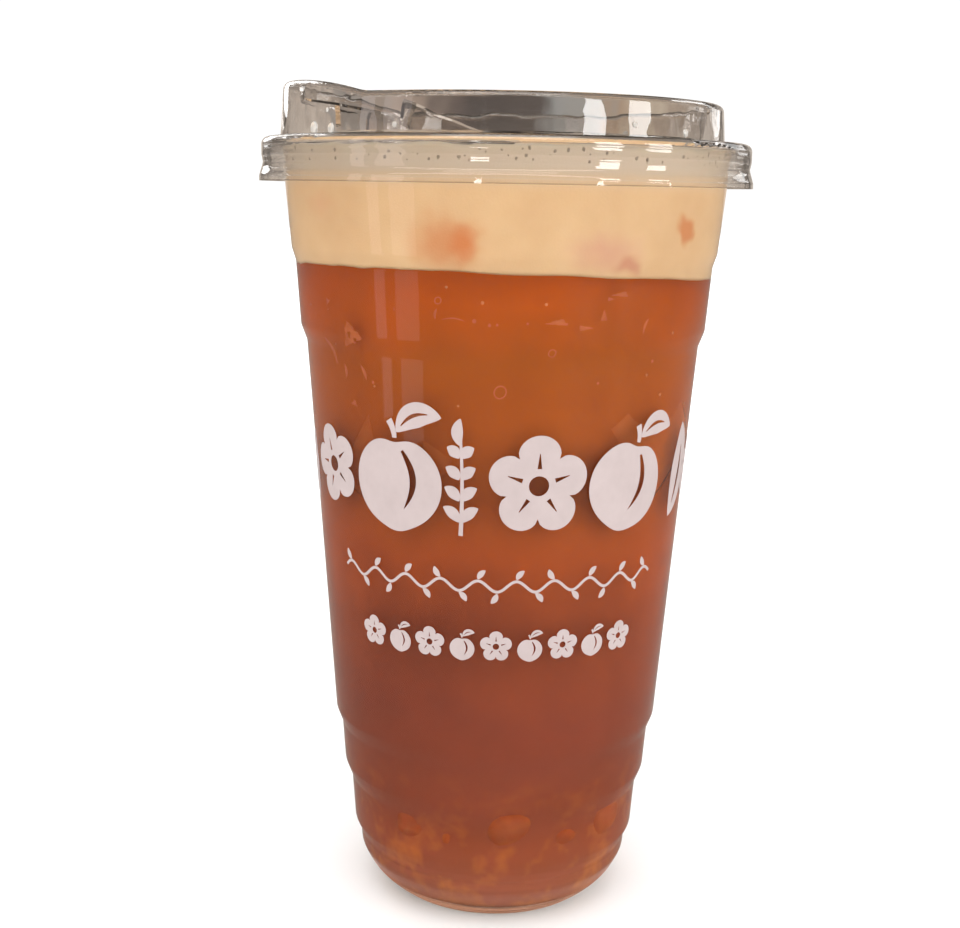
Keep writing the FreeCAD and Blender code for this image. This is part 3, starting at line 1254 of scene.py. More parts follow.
        def build(graph: Graph, given: dict[str, Socket], result: Node) -> None:
            """Fills the group.

            Args:
                graph: The group's graph.
                given: The sockets of its inputs by name.
                result: Its output node.
            """
            position = graph.add("GeometryNodeInputPosition").outputs[0]
            here = graph.add("ShaderNodeSeparateXYZ", Vector=position)
            round_cup = graph.math("DIVIDE", here.outputs["X"], given["Radius"])
            angle = graph.math("SUBTRACT", round_cup, math.pi / 2)
            lean = graph.math("MULTIPLY", here.outputs["Y"], given["Draft"])
            skin = graph.math("ADD", graph.math("ADD", given["Radius"], lean), given["Lift"])
            radius = graph.math("ADD", skin, here.outputs["Z"])
            spot = graph.add(
                "ShaderNodeCombineXYZ",
                X=graph.math("MULTIPLY", radius, graph.math("COSINE", angle)),
                Y=graph.math("MULTIPLY", radius, graph.math("SINE", angle)),
                Z=graph.math("ADD", here.outputs["Y"], given["Height"]),
            )
            moved = graph.add("GeometryNodeSetPosition", Geometry=given["Geometry"], Position=spot.outputs[0])
            Growth.dress(graph, moved.outputs[0], given, result)

        inputs = {"Geometry": ("Geometry", None), "Finish": ("Material", None), "Radius": ("Float", 0.036),
                  "Draft": ("Float", 0.0), "Height": ("Float", 0.0), "Lift": ("Float", 0.0)}
        return shared_tree("wrap on cup", "GeometryNodeTree", inputs, {"Geometry": "Geometry"}, build)

    @staticmethod
    def run(piece: Piece, tree: Tree, **values: object) -> None:
        """Adds a group to a piece as a modifier.

        Args:
            piece: The piece.
            tree: The group.
            **values: Its inputs by name, with spaces as underscores.
        """
        modifier = piece.modifiers.new(tree.name, "NODES")
        modifier.node_group = tree
        for item in tree.interface.items_tree:
            key = item.name.replace(" ", "_")
            if item.in_out == "INPUT" and key in values:
                modifier[item.identifier] = values[key]

    @staticmethod
    def bake(piece: Piece) -> None:
        """Turns a piece with its modifiers into a plain mesh.

        Args:
            piece: The piece.
        """
        graph = bpy.context.evaluated_depsgraph_get()
        mesh = bpy.data.meshes.new_from_object(piece.evaluated_get(graph))
        piece.modifiers.clear()
        piece.data = mesh
        mesh.name = piece.name


@dataclass
class Sunk:
    """What is sunk: ice under the cream, diced peach near the foot, bubbles and specks at the wall."""

    wall: CupWall
    line: TeaLine

    levels: int = 12

    def band(self, name: str, low: float, high: float, inset: float, around: int = 64) -> Piece:
        """Makes a hidden ring of surface inside the wall, for pieces to be scattered over.

        Args:
            name: The name of the piece that it becomes.
            low: Its lower edge.
            high: Its upper edge.
            inset: How far inside the cup's inner surface it lies.
            around: How many steps it has.

        Returns:
            The ring.
        """
        vertices = []
        for i in range(self.levels):
            z = low + (high - low) * i / (self.levels - 1)
            r = self.wall.inner(z) - inset
            vertices += [(r * math.cos(angle), r * math.sin(angle), z) for angle in round_points(around)]
        return make_object(name, vertices, joined_rows(self.levels, around))

    def scatter(self, piece: Piece, finish: Finish, slot: Slot = Slot.TEA, **values: object) -> None:
        """Scatters shapes over a ring, bakes them and settles them.

        Args:
            piece: The ring, which becomes the piece.
            finish: The shapes' finish.
            slot: The material slot they belong to.
            **values: The scatter group's inputs.
        """
        Growth.run(piece, Growth.scatter(), Finish=finish.build(), **values)
        Growth.bake(piece)
        settle(piece, slot)

    def build(self) -> None:
        """Makes the ice, the diced peach, the bubbles and the specks in the film above the cream."""
        top = self.line.middle
        ice = self.band("ice", top - 36 * MM, top - 14 * MM, 14.2 * MM)
        self.scatter(
            ice, Mottled("ice", colour=linear(254, 226, 190), shade=linear(250, 206, 160), roughness=0.15,
                         size=12 * MM, gloss=0.3, clear=0.9, ior=1.07),
            Seed=4, Spacing=25 * MM, Density=4000.0, Smallest=19 * MM, Largest=22 * MM, Tumble=0.16,
            Roundness=0.16, Wobble=1.2 * MM, Detail=9,
        )
        dice = self.band("diced_peach", 8 * MM, 24 * MM, 7.2 * MM)
        self.scatter(
            dice, Mottled("peach flesh", colour=linear(180, 106, 72), shade=linear(154, 86, 72),
                          roughness=0.5, size=6 * MM, gloss=0.1, subsurface=0.3, grain=0.2 * MM),
            Seed=2, Spacing=8.5 * MM, Density=40000.0, Smallest=7 * MM, Largest=10 * MM, Tumble=0.7,
            Flatness=0.85, Roundness=0.9, Wobble=3.0 * MM, Detail=8,
        )
        bubbles = self.band("bubbles", top - 26 * MM, top - 1.0 * MM, 0.45 * MM, 96)
        self.scatter(
            bubbles, Mottled("bubble", colour=linear(250, 206, 160), shade=linear(236, 176, 120),
                             roughness=0.06, clear=0.8, ior=1.2),
            Seed=11, Spacing=4.2 * MM, Density=5000.0, Smallest=0.3 * MM, Largest=0.75 * MM, Tumble=0.2,
            Flatness=0.7, Roundness=1.0, Detail=5,
        )
        specks = self.band("film_specks", 152.6 * MM, 154.8 * MM, -0.28 * MM, 96)
        self.scatter(
            specks, Mottled("film speck", colour=linear(162, 147, 130), shade=linear(128, 115, 101),
                            roughness=0.3, size=20 * MM),
            Slot.CREAM, Seed=5, Spacing=0.9 * MM, Density=400000.0, Smallest=0.2 * MM, Largest=0.65 * MM,
            Tumble=0.3, Flatness=0.35, Roundness=0.9, Wobble=0.3 * MM, Detail=4,
        )


# ---------------------------------------------------------------------------------------------
# Print
# ---------------------------------------------------------------------------------------------


class Outline:
    """Outlines of flat shapes, in millimetres."""

    AHEAD = 0.01  # how far along a path its direction is taken
    LEAST_WIDTH = 0.02

    @staticmethod
    def polar(radius: Callable[[float], float], count: int = 64) -> Loop:
        """Makes a loop round its middle from a radius that changes with the angle."""
        return [(radius(a) * math.cos(a), radius(a) * math.sin(a)) for a in round_points(count)]

    @staticmethod
    def stroke(path: Callable[[float], Point], width: Callable[[float], float], count: int = 28) -> Loop:
        """Makes a loop on both sides of a path.

        Args:
            path: Gives the path's point from 0 to 1.
            width: Gives the width from 0 to 1.
            count: How many steps the path has.

        Returns:
            The loop.
        """
        left, right = [], []
        for i in range(count + 1):
            t = i / count
            x0, y0 = path(max(t - Outline.AHEAD, 0.0))
            x1, y1 = path(min(t + Outline.AHEAD, 1.0))
            x, y = path(t)
            length = math.hypot(x1 - x0, y1 - y0)
            nx, ny = (y0 - y1) / length, (x1 - x0) / length
            half = max(width(t), Outline.LEAST_WIDTH) / 2
            left.append((x + nx * half, y + ny * half))
            right.append((x - nx * half, y - ny * half))
        return right + left[::-1]

    @staticmethod
    def moved(loop: Loop, x: float = 0.0, y: float = 0.0, turn: float = 0.0, scale: float = 1.0) -> Loop:
        """Copies a loop, scaled, then turned, then moved."""
        c, s = math.cos(turn) * scale, math.sin(turn) * scale
        return [(px * c - py * s + x, px * s + py * c + y) for px, py in loop]


class Motif:
    """Generic fruit and leaf motifs, each a list of shapes and each shape a loop with its holes."""

    @staticmethod
    def moved(shapes: list[Shape], **where: float) -> list[Shape]:
        """Copies a motif, scaled, turned and moved."""
        return [[Outline.moved(loop, **where) for loop in shape] for shape in shapes]

    @staticmethod
    def leaf(length: float, width: float, bend: float = 0.12, vein: bool = True) -> list[Shape]:
        """Makes a pointed leaf from its stalk at the middle to its tip on the right.

        Args:
            length: Its length.
            width: Its width.
            bend: How far its middle rises, as a share of its length.
            vein: Whether a slit runs along it.

        Returns:
            The leaf.
        """

        def path(t: float) -> Point:
            """Runs along the leaf."""
            return length * t, length * bend * math.sin(math.pi * t)

        shape = [Outline.stroke(path, lambda t: width * math.sin(math.pi * t) ** 0.75)]
        if vein:
            shape.append(Outline.stroke(lambda t: path(0.14 + 0.62 * t),
                                        lambda t: 0.11 * width * (0.35 + math.sin(math.pi * t)), 14))
        return [shape]

    @staticmethod
    def peach(radius: float) -> list[Shape]:
        """Makes a round peach with a curved cleft, and a stalk with one leaf.

        Args:
            radius: The fruit's radius.

        Returns:
            The fruit, its stalk and its leaf.
        """

        def body(a: float) -> float:
            """Dents the top and points the bottom.

            Args:
                a: The angle from the right.

            Returns:
                The radius there.
            """
            dent = 0.13 * math.exp(-((a - math.pi / 2) / 0.32) ** 2)
            tip = 0.05 * math.exp(-((a - 1.5 * math.pi) / 0.3) ** 2)
            return radius * (1.0 - dent + tip + 0.03 * math.cos(2 * a))

        def cleft(t: float) -> Point:
            """Runs down the right half."""
            return radius * (0.06 + 0.34 * math.sin(math.pi * (0.1 + 0.8 * t))), radius * (0.68 - 1.22 * t)

        def cleft_width(t: float) -> float:
            """Swells along the cleft and closes at its foot."""
            return radius * 0.15 * math.sin(math.pi * (0.12 + 0.88 * t)) ** 0.8

        def stalk(t: float) -> Point:
            """Leans to the left as it rises."""
            return -0.12 * radius * t * t, radius * (0.93 + 0.36 * t)

        leaf = Motif.leaf(radius * 1.05, radius * 0.52, 0.2)
        return [
            [Outline.polar(body), Outline.stroke(cleft, cleft_width, 18)],
            [Outline.stroke(stalk, lambda t: radius * (0.10 + 0.05 * t), 8)],
        ] + Motif.moved(leaf, x=0.05 * radius, y=1.05 * radius, turn=0.35)

    @staticmethod
    def sprig(height: float, width: float) -> list[Shape]:
        """Makes an upright stem with leaves in pairs and one at its tip.

        Args:
            height: The sprig's height.
            width: How far the lowest leaves reach, about.

        Returns:
            The stem and its leaves.
        """

        def stem(t: float) -> Point:
            """Sways a little as it rises."""
            return 0.3 * math.sin(3 * t), height * 0.86 * t

        shapes = [[Outline.stroke(stem, lambda t: 0.85 - 0.35 * t, 12)]]
        for i in range(4):
            y = height * (0.12 + 0.19 * i)
            for way, turn in ((1, 0.75), (-1, math.pi - 0.75)):
                leaf = Motif.leaf(width * (0.66 - 0.06 * i), width * 0.34, way * 0.1, vein=False)
                shapes += Motif.moved(leaf, x=way * 0.28, y=y, turn=turn)
        tip = Motif.leaf(height * 0.24, width * 0.34, vein=False)
        return shapes + Motif.moved(tip, y=height * 0.8, turn=math.pi / 2)

    @staticmethod
    def blossom(radius: float) -> list[Shape]:
        """Makes a blossom of five round petals with slits and an open middle.

        Args:
            radius: The reach of its petals.

        Returns:
            The blossom.
        """

        def petals(a: float) -> float:
            """Bulges five times."""
            return radius * (0.66 + 0.34 * abs(math.cos(2.5 * (a - math.pi / 2))) ** 0.6)

        shape = [Outline.polar(petals, 100), Outline.polar(lambda _: radius * 0.2, 20)]
        for a in round_points(5):
            across, up = math.cos(math.pi / 2 + a), math.sin(math.pi / 2 + a)

            def slit(t: float, across: float = across, up: float = up) -> Point:
                """Runs out along a petal."""
                return radius * (0.34 + 0.3 * t) * across, radius * (0.34 + 0.3 * t) * up

            shape.append(Outline.stroke(slit, lambda t: radius * 0.075 * (1.2 - t), 6))
        return [shape]

    @staticmethod
    def dot(radius: float) -> list[Shape]:
        """Makes a round dot."""
        return [[Outline.polar(lambda _: radius, 24)]]


@dataclass
class Wrapped:
    """Thin flat shapes that are bent round the cup."""

    wall: CupWall
    thickness: float = 0.06 * MM
    strip: float = 1.3 * MM

    def flat(self, name: str, shapes: list[Shape]) -> Piece:
        """Makes flat shapes into a thin closed mesh, cut into strips so that it can be bent.

        Args:
            name: The piece's name.
            shapes: The shapes in millimetres.

        Returns:
            The flat piece, in metres, with its depth along Z.
        """
        work = bmesh.new()
        for shape in shapes:
            loops = [[Vector((x, y, 0.0)) for x, y in loop] for loop in shape]
            flat = [point for loop in loops for point in loop]
            levels = [[work.verts.new((p.x * MM, p.y * MM, z)) for p in flat] for z in (0.0, self.thickness)]
            for triangle in tessellate_polygon(loops):
                for level in levels:
                    work.faces.new([level[k] for k in triangle])
            start = 0
            for loop in loops:
                for i in range(len(loop)):
                    a, b = start + i, start + (i + 1) % len(loop)
                    work.faces.new((levels[0][a], levels[0][b], levels[1][b], levels[1][a]))
                start += len(loop)
        high = max(v.co.x for v in work.verts)
        cut = min(v.co.x for v in work.verts) + self.strip
        while cut < high:
            everything = work.verts[:] + work.edges[:] + work.faces[:]
            bmesh.ops.bisect_plane(work, geom=everything, plane_co=(cut, 0, 0), plane_no=(1, 0, 0), dist=1e-7)
            cut += self.strip
        bmesh.ops.recalc_face_normals(work, faces=work.faces[:])
        mesh = bpy.data.meshes.new(name)
        work.to_mesh(mesh)
        work.free()
        return stand(name, mesh)

    def wrap(self, piece: Piece, finish: Finish, slot: Slot, height: float, low: float, high: float,
             lift: float) -> None:
        """Wraps a flat piece round the cup and settles it.

        Args:
            piece: The flat piece.
            finish: Its finish.
            slot: The material slot it belongs to.
            height: The height that its middle goes to, in millimetres like the next two.
            low: The lowest height that it reaches.
            high: The highest height that it reaches.
            lift: How far outside the cup it lies.
        """
        draft = (self.wall.outer(high * MM) - self.wall.outer(low * MM)) / ((high - low) * MM)
        Growth.run(piece, Growth.wrap(), Finish=finish.build(), Radius=self.wall.outer(height * MM),
                   Draft=draft, Height=height * MM, Lift=lift)
        Growth.bake(piece)
        settle(piece, slot)


@dataclass
class AirMarks(Wrapped):
    """Marks just inside the wall where ice and air touch it: pale patches, streaks, rings and specks."""

    middle: float = 118.0
    low: float = 106.0
    high: float = 131.0
    sink: float = 2.1 * MM
    tall_patch: float = 4.0
    finish: Finish = Mottled("air mark", colour=linear(208, 128, 92), shade=linear(184, 104, 62),
                             roughness=0.3, size=3 * MM, gloss=0.2)

    def placed(self, shapes: list[Shape], x: float, height: float, turn: float = 0.0) -> list[Shape]:
        """Copies shapes to a place across and up the front."""
        return Motif.moved(shapes, x=x, y=height - self.middle, turn=turn)

    def patch(self, x: float, height: float, width: float, tall: float, turn: float = 0.0) -> list[Shape]:
        """Makes an uneven three-cornered patch, with two holes where it is tall.

        Args:
            x: Its place across.
            height: Its height above the foot.
            width: Its width before it is turned.
            tall: Its height before it is turned.
            turn: How far its corners are turned.

        Returns:
            The patch.
        """

        def edge(a: float) -> float:
            """Runs round three blunt corners."""
            side = (a + math.pi / 3) % (2 * math.pi / 3) - math.pi / 3
            return 0.44 / max(math.cos(side), 0.53) + 0.05 * math.sin(5 * a + x) + 0.04 * math.sin(9 * a)

        corners = Outline.moved(Outline.polar(edge, 48), turn=turn)
        shape = [[(width / 2 * px, tall / 2 * py) for px, py in corners]]
        if tall > self.tall_patch:
            for across, up, r in ((-0.5, 0.1, 0.5), (1.1, -0.7, 0.42)):
                hole = Outline.polar(lambda a, r=r: r * (1 + 0.2 * math.sin(3 * a)), 16)
                shape.append(Outline.moved(hole, x=across, y=up))
        return self.placed([shape], x, height)

    def streak(self, x: float, height: float, length: float, width: float, turn: float) -> list[Shape]:
        """Makes a thin tapered streak."""
        return self.placed(Motif.leaf(length, width, 0.1, vein=False), x, height, turn)

    def ring(self, x: float, height: float, radius: float, width: float) -> list[Shape]:
        """Makes a thin ring, as round a bubble that lies on the wall.

        Args:
            x: Its place across.
            height: Its height above the foot.
            radius: Its outer radius.
            width: The width of its line.

        Returns:
            The ring.
        """
        radii = (radius, radius - width)
        loops = [Outline.polar(lambda a, r=r: r * (1 + 0.05 * math.sin(2 * a)), 32) for r in radii]
        return self.placed([loops], x, height)

    def build(self) -> None:
        """Makes the marks."""
        shapes = (
            self.patch(-32.4, 120.6, 7.4, 6.4, 0.9)
            + self.patch(-33.4, 107.2, 2.6, 1.8, 2.4)
            + self.patch(-39.2, 126.4, 1.8, 1.6, 1.2)
            + self.patch(10.4, 124.4, 6.4, 1.7, 0.3)
            + self.patch(15.6, 123.4, 4.6, 1.3, 1.1)
            + self.patch(19.4, 125.4, 1.9, 3.2, 0.6)
            + self.patch(22.8, 129.4, 5.4, 1.4, 0.2)
            + self.patch(20.4, 128.6, 2.2, 1.0, 1.0)
            + self.streak(-42.0, 119.6, 6.4, 0.9, -0.95)
            + self.streak(-35.6, 114.6, 2.6, 0.8, -1.5)
            + self.streak(-30.6, 114.8, 3.0, 0.8, -1.1)
            + self.streak(-12.6, 124.6, 2.0, 0.5, 1.4)
            + self.streak(-11.6, 124.5, 4.8, 0.25, -0.03)
            + self.streak(29.0, 122.0, 3.0, 0.6, 1.2)
            + self.ring(-0.2, 111.5, 1.3, 0.28)
            + self.ring(-12.0, 128.0, 0.7, 0.2)
            + self.ring(9.5, 119.0, 0.8, 0.2)
        )
        for x, height, radius in (
            (-5.2, 124.5, 0.4), (-2.4, 123.8, 0.32), (-1.0, 123.9, 0.26), (-27.4, 111.8, 0.3),
            (4.6, 124.2, 0.24), (-21.0, 126.0, 0.22), (33.0, 116.5, 0.35), (19.5, 113.0, 0.26),
        ):
            shapes += self.placed(Motif.dot(radius), x, height)
        marks = self.flat("air_marks", shapes)
        self.wrap(marks, self.finish, Slot.TEA, self.middle, self.low, self.high, -self.sink)


@dataclass
class Print(Wrapped):
    """White ornament printed on the front of the cup in three rows."""

    lift: float = 0.01 * MM
    vine_half: float = 34.5
    vine_turns: float = 9.5
    vine_rise: float = 1.05
    vine_width: float = 0.55
    border_pitch: float = 13.0
    finish: Finish = Mottled("white ink", colour=linear(187, 172, 170), shade=linear(178, 163, 161),
                             roughness=0.42, size=6 * MM, gloss=0.4)

    def row(self, piece: Piece, height: float, low: float, high: float) -> None:
        """Prints a flat piece on the cup at a height in millimetres, between its lowest and its highest."""
        self.wrap(piece, self.finish, Slot.CUP, height, low, high, self.lift)

    def main_row(self) -> list[Shape]:
        """Lays out the large motifs.

        Returns:
            The shapes.
        """
        return (
            Motif.moved(Motif.leaf(14.0, 7.4, 0.16), x=-50.5, y=-9.5, turn=1.6)
            + Motif.moved(Motif.blossom(7.9), x=-38.6, y=-0.6, turn=0.3)
            + Motif.moved(Motif.peach(9.3), x=-20.4, y=-1.7)
            + Motif.moved(Motif.sprig(21.5, 6.4), x=-7.2, y=-10.8)
            + Motif.moved(Motif.blossom(9.6), x=7.4, y=-0.9)
            + Motif.moved(Motif.peach(8.9), x=26.6, y=-1.9, turn=-0.22)
            + Motif.moved(Motif.leaf(19.0, 8.6, -0.12), x=42.4, y=-10.6, turn=1.42)
            + Motif.moved(Motif.blossom(6.4), x=54.8, y=-2.0)
        )

    def vine_row(self) -> list[Shape]:
        """Lays out the thin vine with its small leaves.

        Returns:
            The shapes.
        """

        def path(t: float) -> Point:
            """Winds from left to right."""
            return self.vine_half * (2 * t - 1), self.vine_rise * math.sin(2 * math.pi * self.vine_turns * t)

        shapes = [[Outline.stroke(path, lambda _: self.vine_width, 260)]]
        leaf = Motif.leaf(2.3, 1.15, 0.1, vein=False)
        bends = int(self.vine_turns * 2)
        for i in range(bends):
            x, y = path((i + 0.5) / bends)
            side = 1 if y > 0 else -1
            shapes += Motif.moved(leaf, x=x, y=y + side * 0.3, turn=side * (0.9 if i % 3 else 2.1))
        return shapes

    def build(self) -> None:
        """Makes the three rows."""
        self.row(self.flat("printed_fruit", self.main_row()), 95.0, 83.0, 111.0)
        self.row(self.flat("printed_vine", self.vine_row()), 74.5, 70.0, 79.0)
        blossom = self.flat("small_blossom", Motif.blossom(3.1))
        fruit = self.flat("small_fruit", Motif.moved(Motif.peach(2.35), y=-0.7))
        border = make_object("printed_border", [], [])
        pitch = self.border_pitch * MM
        Growth.run(border, Growth.repeat(), Motif=blossom, Count=5, Start=-2.0 * pitch, Pitch=pitch)
        Growth.run(border, Growth.repeat(), Motif=fruit, Count=4, Start=-1.5 * pitch, Pitch=pitch)
        Growth.bake(border)
        for motif in (blossom, fruit):
            bpy.data.objects.remove(motif)
        self.row(border, 62.5, 57.0, 68.0)


# ---------------------------------------------------------------------------------------------
# Cup, lid, studio and camera
# ---------------------------------------------------------------------------------------------


@dataclass
class Plastics:
    """The clear cup and the lid."""

    cup: Piece
    lid: Piece
    eased_height: float = 8 * MM
    eased_over: float = 7 * MM
    narrowing: float = 0.0009
    lowering: float = 0.05 * MM
    sharp_edge: float = math.radians(35)

    def eased_cup(self, top: float) -> Piece:
        """Copies the cup with its rim a hair lower and narrower, so that it shares no face with the lid.

        Args:
            top: The rim's height.

        Returns:
            The copy, in place of the cup.
        """
        mesh = self.cup.data.copy()
        if "custom_normal" in mesh.attributes:
            mesh.attributes.remove(mesh.attributes["custom_normal"])
        work = bmesh.new()
        work.from_mesh(mesh)
        bmesh.ops.remove_doubles(work, verts=work.verts, dist=1e-6)
        work.to_mesh(mesh)
        work.free()
        mesh.shade_smooth()
        mesh.set_sharp_from_angle(angle=self.sharp_edge)
        for vertex in mesh.vertices:
            share = min(max((vertex.co.z - top + self.eased_height) / self.eased_over, 0.0), 1.0)
            vertex.co.x *= 1.0 - self.narrowing * share
            vertex.co.y *= 1.0 - self.narrowing * share
            vertex.co.z -= self.lowering * share
        piece = stand("clear_cup", mesh)
        settle(piece, Slot.CUP, "cup")
        return piece

    def build(self) -> None:
        """Makes the clear cup and gives both their plastic."""
        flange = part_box("cup")[1].z
        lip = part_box("lid")[0].z
        for node, finish in (
            (self.eased_cup(flange), ClearPlastic("clear cup")),
            (self.lid, LidPlastic("clear lid", flange=flange, lip=lip)),
        ):
            node.data.materials.clear()
            node.data.materials.append(finish.build())


@dataclass
class Drops:
    """A few small drops on the upright wall of the lid."""

    lid: Piece
    outside: float = 200 * MM
    lift: float = 0.1 * MM
    tall: float = 1.15  # share of the radius
    thick: float = 0.42  # share of the radius
    thickest: float = 0.4
    finish: Finish = Mottled("drop", colour=linear(250, 248, 244), shade=linear(236, 232, 226),
                             roughness=0.05, clear=0.7)
    places: tuple[Place, ...] = (
        (-51.5, 158.2, 1.1), (-44.8, 158.1, 0.85), (-46.5, 161.4, 0.4), (-26.0, 158.6, 0.45),
        (31.0, 159.4, 0.5), (48.0, 158.4, 0.7), (96.0, 158.8, 0.8), (141.0, 160.4, 0.6),
        (188.0, 158.4, 0.9), (232.0, 159.0, 0.6),
    )  # degrees to the right of the front, then height and radius in millimetres

    def build(self) -> None:
        """Sets a flattened drop where a ray at each bearing and height meets the lid."""
        tree = ray_target(self.lid)
        piece = make_object("lid_drops", [], [])
        work = bmesh.new()
        for bearing, height, radius in self.places:
            turn = math.radians(bearing)
            out = Vector((math.sin(turn), -math.cos(turn), 0.0))
            start = out * self.outside + Vector((0.0, 0.0, height * MM))
            spot, normal = tree.ray_cast(start, -out)[:2]
            facing = normal.to_track_quat("Z", "Y").to_matrix().to_4x4()
            frame = Matrix.Translation(spot + normal * self.lift) @ facing
            depth = min(self.thick * radius, self.thickest)
            size = Matrix.Diagonal((radius * MM, radius * self.tall * MM, depth * MM, 1.0))
            bmesh.ops.create_icosphere(work, subdivisions=3, radius=1.0, matrix=frame @ size)
        work.to_mesh(piece.data)
        work.free()
        piece.data.shade_smooth()
        piece.data.materials.append(self.finish.build())
        settle(piece, Slot.LID)


@dataclass(frozen=True)
class Lamp:
    """A soft rectangular lamp that faces the cup.

    Attributes:
        name: The lamp's name.
        bearing: Degrees to the right of the front.
        rise: Degrees above the point that it faces.
        distance: How far away it hangs.
        size: Its width and height.
        glow: Its brightness, where 1 looks white.
        colour: Its linear colour.
        mirrored: Whether it shows in gloss.
        through: Whether it shows through clear plastic.
        lighting: Whether it lights matt surfaces.
        aim: The height of the point that it faces.
    """

    name: str
    bearing: float
    rise: float
    distance: float
    size: Point
    glow: float
    colour: Colour = (1.0, 1.0, 1.0)
    mirrored: bool = True
    through: bool = False
    lighting: bool = True
    aim: float = 90 * MM

    def build(self) -> None:
        """Hangs the lamp."""
        data = bpy.data.lights.new(self.name, "AREA")
        data.shape = "RECTANGLE"
        data.size, data.size_y = self.size
        data.energy = self.glow * math.pi * self.size[0] * self.size[1]
        data.color = self.colour
        turn, tilt = math.radians(self.bearing), math.radians(self.rise)
        out = Vector((math.sin(turn) * math.cos(tilt), -math.cos(turn) * math.cos(tilt), math.sin(tilt)))
        lamp = stand(self.name, data)
        lamp.location = Vector((0.0, 0.0, self.aim)) + out * self.distance
        lamp.rotation_euler = (-out).to_track_quat("-Z", "Y").to_euler()
        lamp.visible_glossy = self.mirrored
        lamp.visible_transmission = self.through
        lamp.visible_diffuse = self.lighting


WARM_LIGHT = (1.0, 0.985, 0.96)
LAMPS = (
    Lamp("fill right", 74.0, 16.0, 0.9, (0.5, 0.6), 1.6, WARM_LIGHT, mirrored=False),
    Lamp("fill left", -78.0, 12.0, 0.9, (0.5, 0.6), 0.9, WARM_LIGHT, mirrored=False),
    Lamp("window right", 45.0, 12.0, 1.0, (0.20, 0.34), 13.0, lighting=False),
    Lamp("window right far", 70.0, 12.0, 1.0, (0.20, 0.30), 11.0, lighting=False),
    Lamp("window front", -11.0, 3.0, 1.0, (0.10, 0.06), 14.0, lighting=False),
    Lamp("pane left", -66.0, 10.0, 0.34, (0.04, 0.28), 1.8, (1.0, 0.9, 0.9), lighting=False),
    Lamp("window left", -50.0, 6.0, 0.34, (0.08, 0.26), 1.6, (1.0, 0.88, 0.88), lighting=False),
    Lamp("overhead", 0.0, 80.0, 0.8, (0.5, 0.5), 2.0, through=True),
    Lamp("front high", -6.0, 46.0, 0.9, (1.5, 0.13), 3.7),
    Lamp("back left", -150.0, 24.0, 0.9, (0.2, 0.5), 2.6, through=True),
    Lamp("back right", 140.0, 24.0, 0.9, (0.2, 0.5), 1.6, through=True),
)


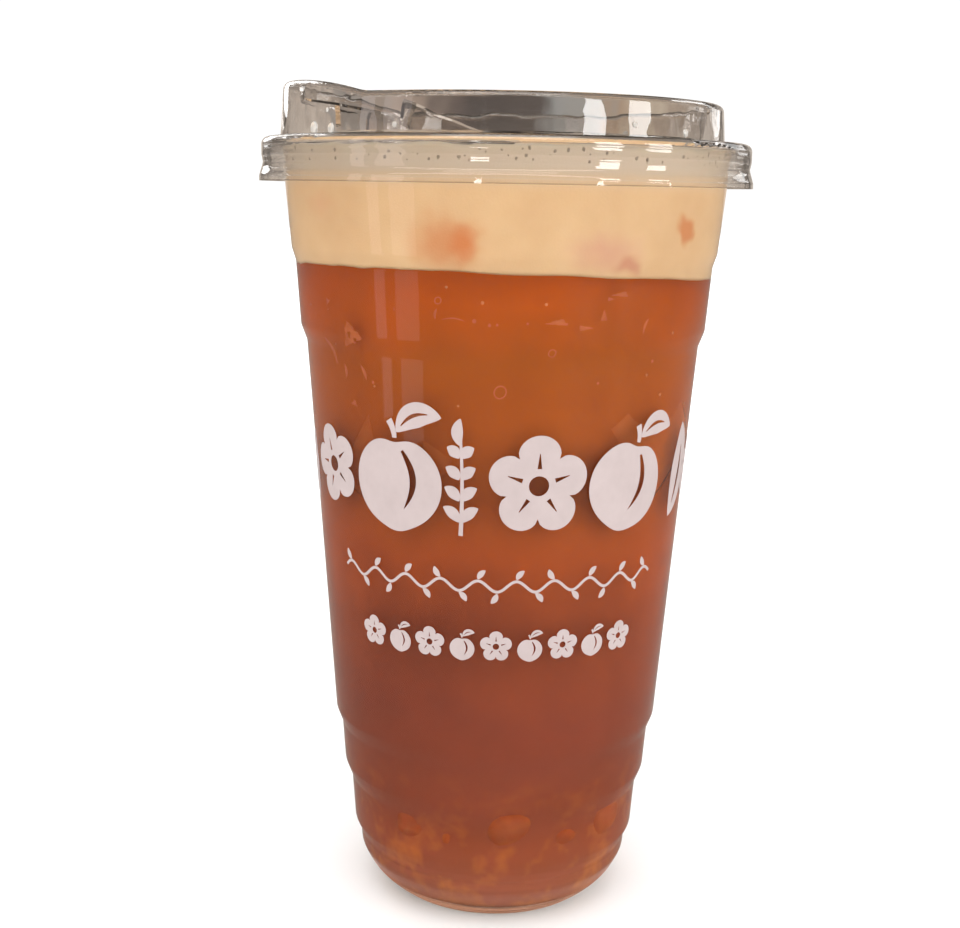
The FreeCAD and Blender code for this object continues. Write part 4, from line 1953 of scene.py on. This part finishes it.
@dataclass
class Studio:
    """A plain pale floor under soft light, white behind the cup and dim all round in reflections."""

    floor_reach: float = 5.0
    floor_colour: Colour = (0.93, 0.93, 0.925)
    floor_glow: float = 0.35
    glow_from: float = 150 * MM
    glow_to: float = 900 * MM
    table: Colour = (0.3, 0.26, 0.23)
    # painted light: the colour of the tea-tinted glow that the floor gives off under the cup, and the
    # distances where that glow is full and where it is gone
    painted_tea_glow: Colour = (0.34, 0.115, 0.046)
    painted_glow_full: float = 26 * MM
    painted_glow_gone: float = 30 * MM
    backdrop: float = 1.06
    fill: float = 1.16
    room: Colour = (0.24, 0.2, 0.17)
    behind_reach: float = 0.17  # sideways part of a ray's direction at either end of the wall behind
    behind_from: float = 0.86  # backward part of a ray's direction where that wall sets in
    behind_full: float = 0.96
    behind: Stops = (
        (0.00, linear(218, 204, 190)),
        (0.07, linear(200, 186, 173)),
        (0.14, linear(158, 152, 146)),
        (0.28, linear(170, 152, 138)),
        (0.39, linear(104, 93, 88)),
        (0.44, linear(84, 77, 74)),
        (0.57, linear(90, 82, 78)),
        (0.60, linear(158, 158, 156)),
        (0.69, linear(166, 160, 152)),
        (0.73, linear(180, 156, 134)),
        (0.82, linear(204, 188, 168)),
        (0.90, linear(176, 158, 142)),
        (0.95, linear(194, 181, 168)),
        (1.00, linear(218, 206, 194)),
    )

    @staticmethod
    def seen_in_gloss(graph: Graph) -> Socket:
        """Finds what is mirrored by gloss or seen through clear plastic.

        Args:
            graph: The graph of a material or a world.

        Returns:
            The socket of 1 there and 0 elsewhere.
        """
        path = graph.add("ShaderNodeLightPath")
        clear = graph.math("MAXIMUM", path.outputs["Is Glossy Ray"], path.outputs["Is Transmission Ray"])
        return graph.math("MULTIPLY", clear, graph.math("LESS_THAN", path.outputs["Diffuse Depth"], 0.5))

    def floor(self) -> None:
        """Makes the floor, which fades to white far from the cup; under the cup, where it is mirrored or seen
        through plastic, it glows with painted tea-coloured light.
        """
        half = self.floor_reach
        corners = [(-half, -half, 0.0), (half, -half, 0.0), (half, half, 0.0), (-half, half, 0.0)]
        floor = make_object("floor", corners, [(0, 1, 2, 3)], smooth=False)
        material = bpy.data.materials.new("pale floor")
        graph = fresh_graph(material)
        mirrored = self.seen_in_gloss(graph)
        far = graph.length(graph.place())
        # painted light: how strongly the floor glows tea-coloured under the cup, only where it is mirrored or
        # seen through plastic
        painted_tea_glow = graph.math("MULTIPLY", mirrored, graph.remap(far, self.painted_glow_gone, self.painted_glow_full))
        fade = graph.remap(far, self.glow_from, self.glow_to, 0.0, self.floor_glow, smooth=True)
        glow = graph.math("MULTIPLY", fade, graph.math("SUBTRACT", 1.0, mirrored))
        shader = graph.add(
            "ShaderNodeBsdfPrincipled", Roughness=0.7, Specular_IOR_Level=0.1,
            Base_Color=graph.blend(mirrored, self.floor_colour, self.table),
            Emission_Color=graph.blend(painted_tea_glow, (1.0, 1.0, 1.0), self.painted_tea_glow),
            Emission_Strength=graph.math("ADD", glow, painted_tea_glow),
        )
        graph.add("ShaderNodeOutputMaterial", Surface=shader.outputs[0])
        floor.data.materials.append(material)

    def surround(self) -> None:
        """Makes the world: white to the eye, and a dim room with a banded wall in and through plastic."""
        world = bpy.data.worlds.new("soft light")
        graph = fresh_graph(world)
        path = graph.add("ShaderNodeLightPath")
        way = graph.add("ShaderNodeSeparateXYZ", Vector=graph.place())
        across = graph.remap(way.outputs["X"], -self.behind_reach, self.behind_reach)
        back = graph.remap(way.outputs["Y"], self.behind_from, self.behind_full, smooth=True)
        room = graph.blend(back, self.room, graph.ramp(across, self.behind))
        colour = graph.blend(self.seen_in_gloss(graph), (self.fill,) * 3, room)
        colour = graph.blend(path.outputs["Is Camera Ray"], colour, (self.backdrop,) * 3)
        background = graph.add("ShaderNodeBackground", Color=colour, Strength=1.0)
        graph.add("ShaderNodeOutputWorld", Surface=background.outputs[0])
        bpy.context.scene.world = world

    def build(self) -> None:
        """Makes the floor, the surrounding light and the lamps."""
        self.floor()
        self.surround()
        for lamp in LAMPS:
            lamp.build()


@dataclass
class Viewpoint:
    """The camera: close to the cup, level with its upper part, looking down and a little tipped."""

    distance: float = 298.9 * MM
    height: float = 147.6 * MM
    pitch: float = math.radians(10.74)
    turn: float = math.radians(0.795)
    roll: float = math.radians(1.04)
    focal: float = 54.16
    sensor: float = 36.0
    nearest: float = 10 * MM

    def build(self) -> None:
        """Makes the camera and gives it to the scene."""
        data = bpy.data.cameras.new("camera")
        data.lens = self.focal
        data.sensor_width = self.sensor
        data.clip_start = self.nearest
        camera = stand("camera", data)
        camera.matrix_world = (
            Matrix.Translation((0.0, -self.distance, self.height))
            @ Matrix.Rotation(self.turn, 4, "Z")
            @ Matrix.Rotation(math.pi / 2 - self.pitch, 4, "X")
            @ Matrix.Rotation(self.roll, 4, "Z")
        )
        bpy.context.scene.camera = camera


def main() -> None:
    """Builds the pieces in order, then the studio and the camera."""
    logging.basicConfig(level=logging.INFO, format="%(message)s")
    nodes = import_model()["nodes"]
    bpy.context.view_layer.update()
    wall = CupWall(nodes["cup"])
    line = TeaLine()
    Drink(wall, line).build()
    Sunk(wall, line).build()
    AirMarks(wall).build()
    Print(wall).build()
    Plastics(nodes["cup"], nodes["lid"]).build()
    Drops(nodes["lid"]).build()
    Studio().build()
    Viewpoint().build()
    bpy.context.scene.view_settings.view_transform = "Standard"


if __name__ == "__main__":
    main()
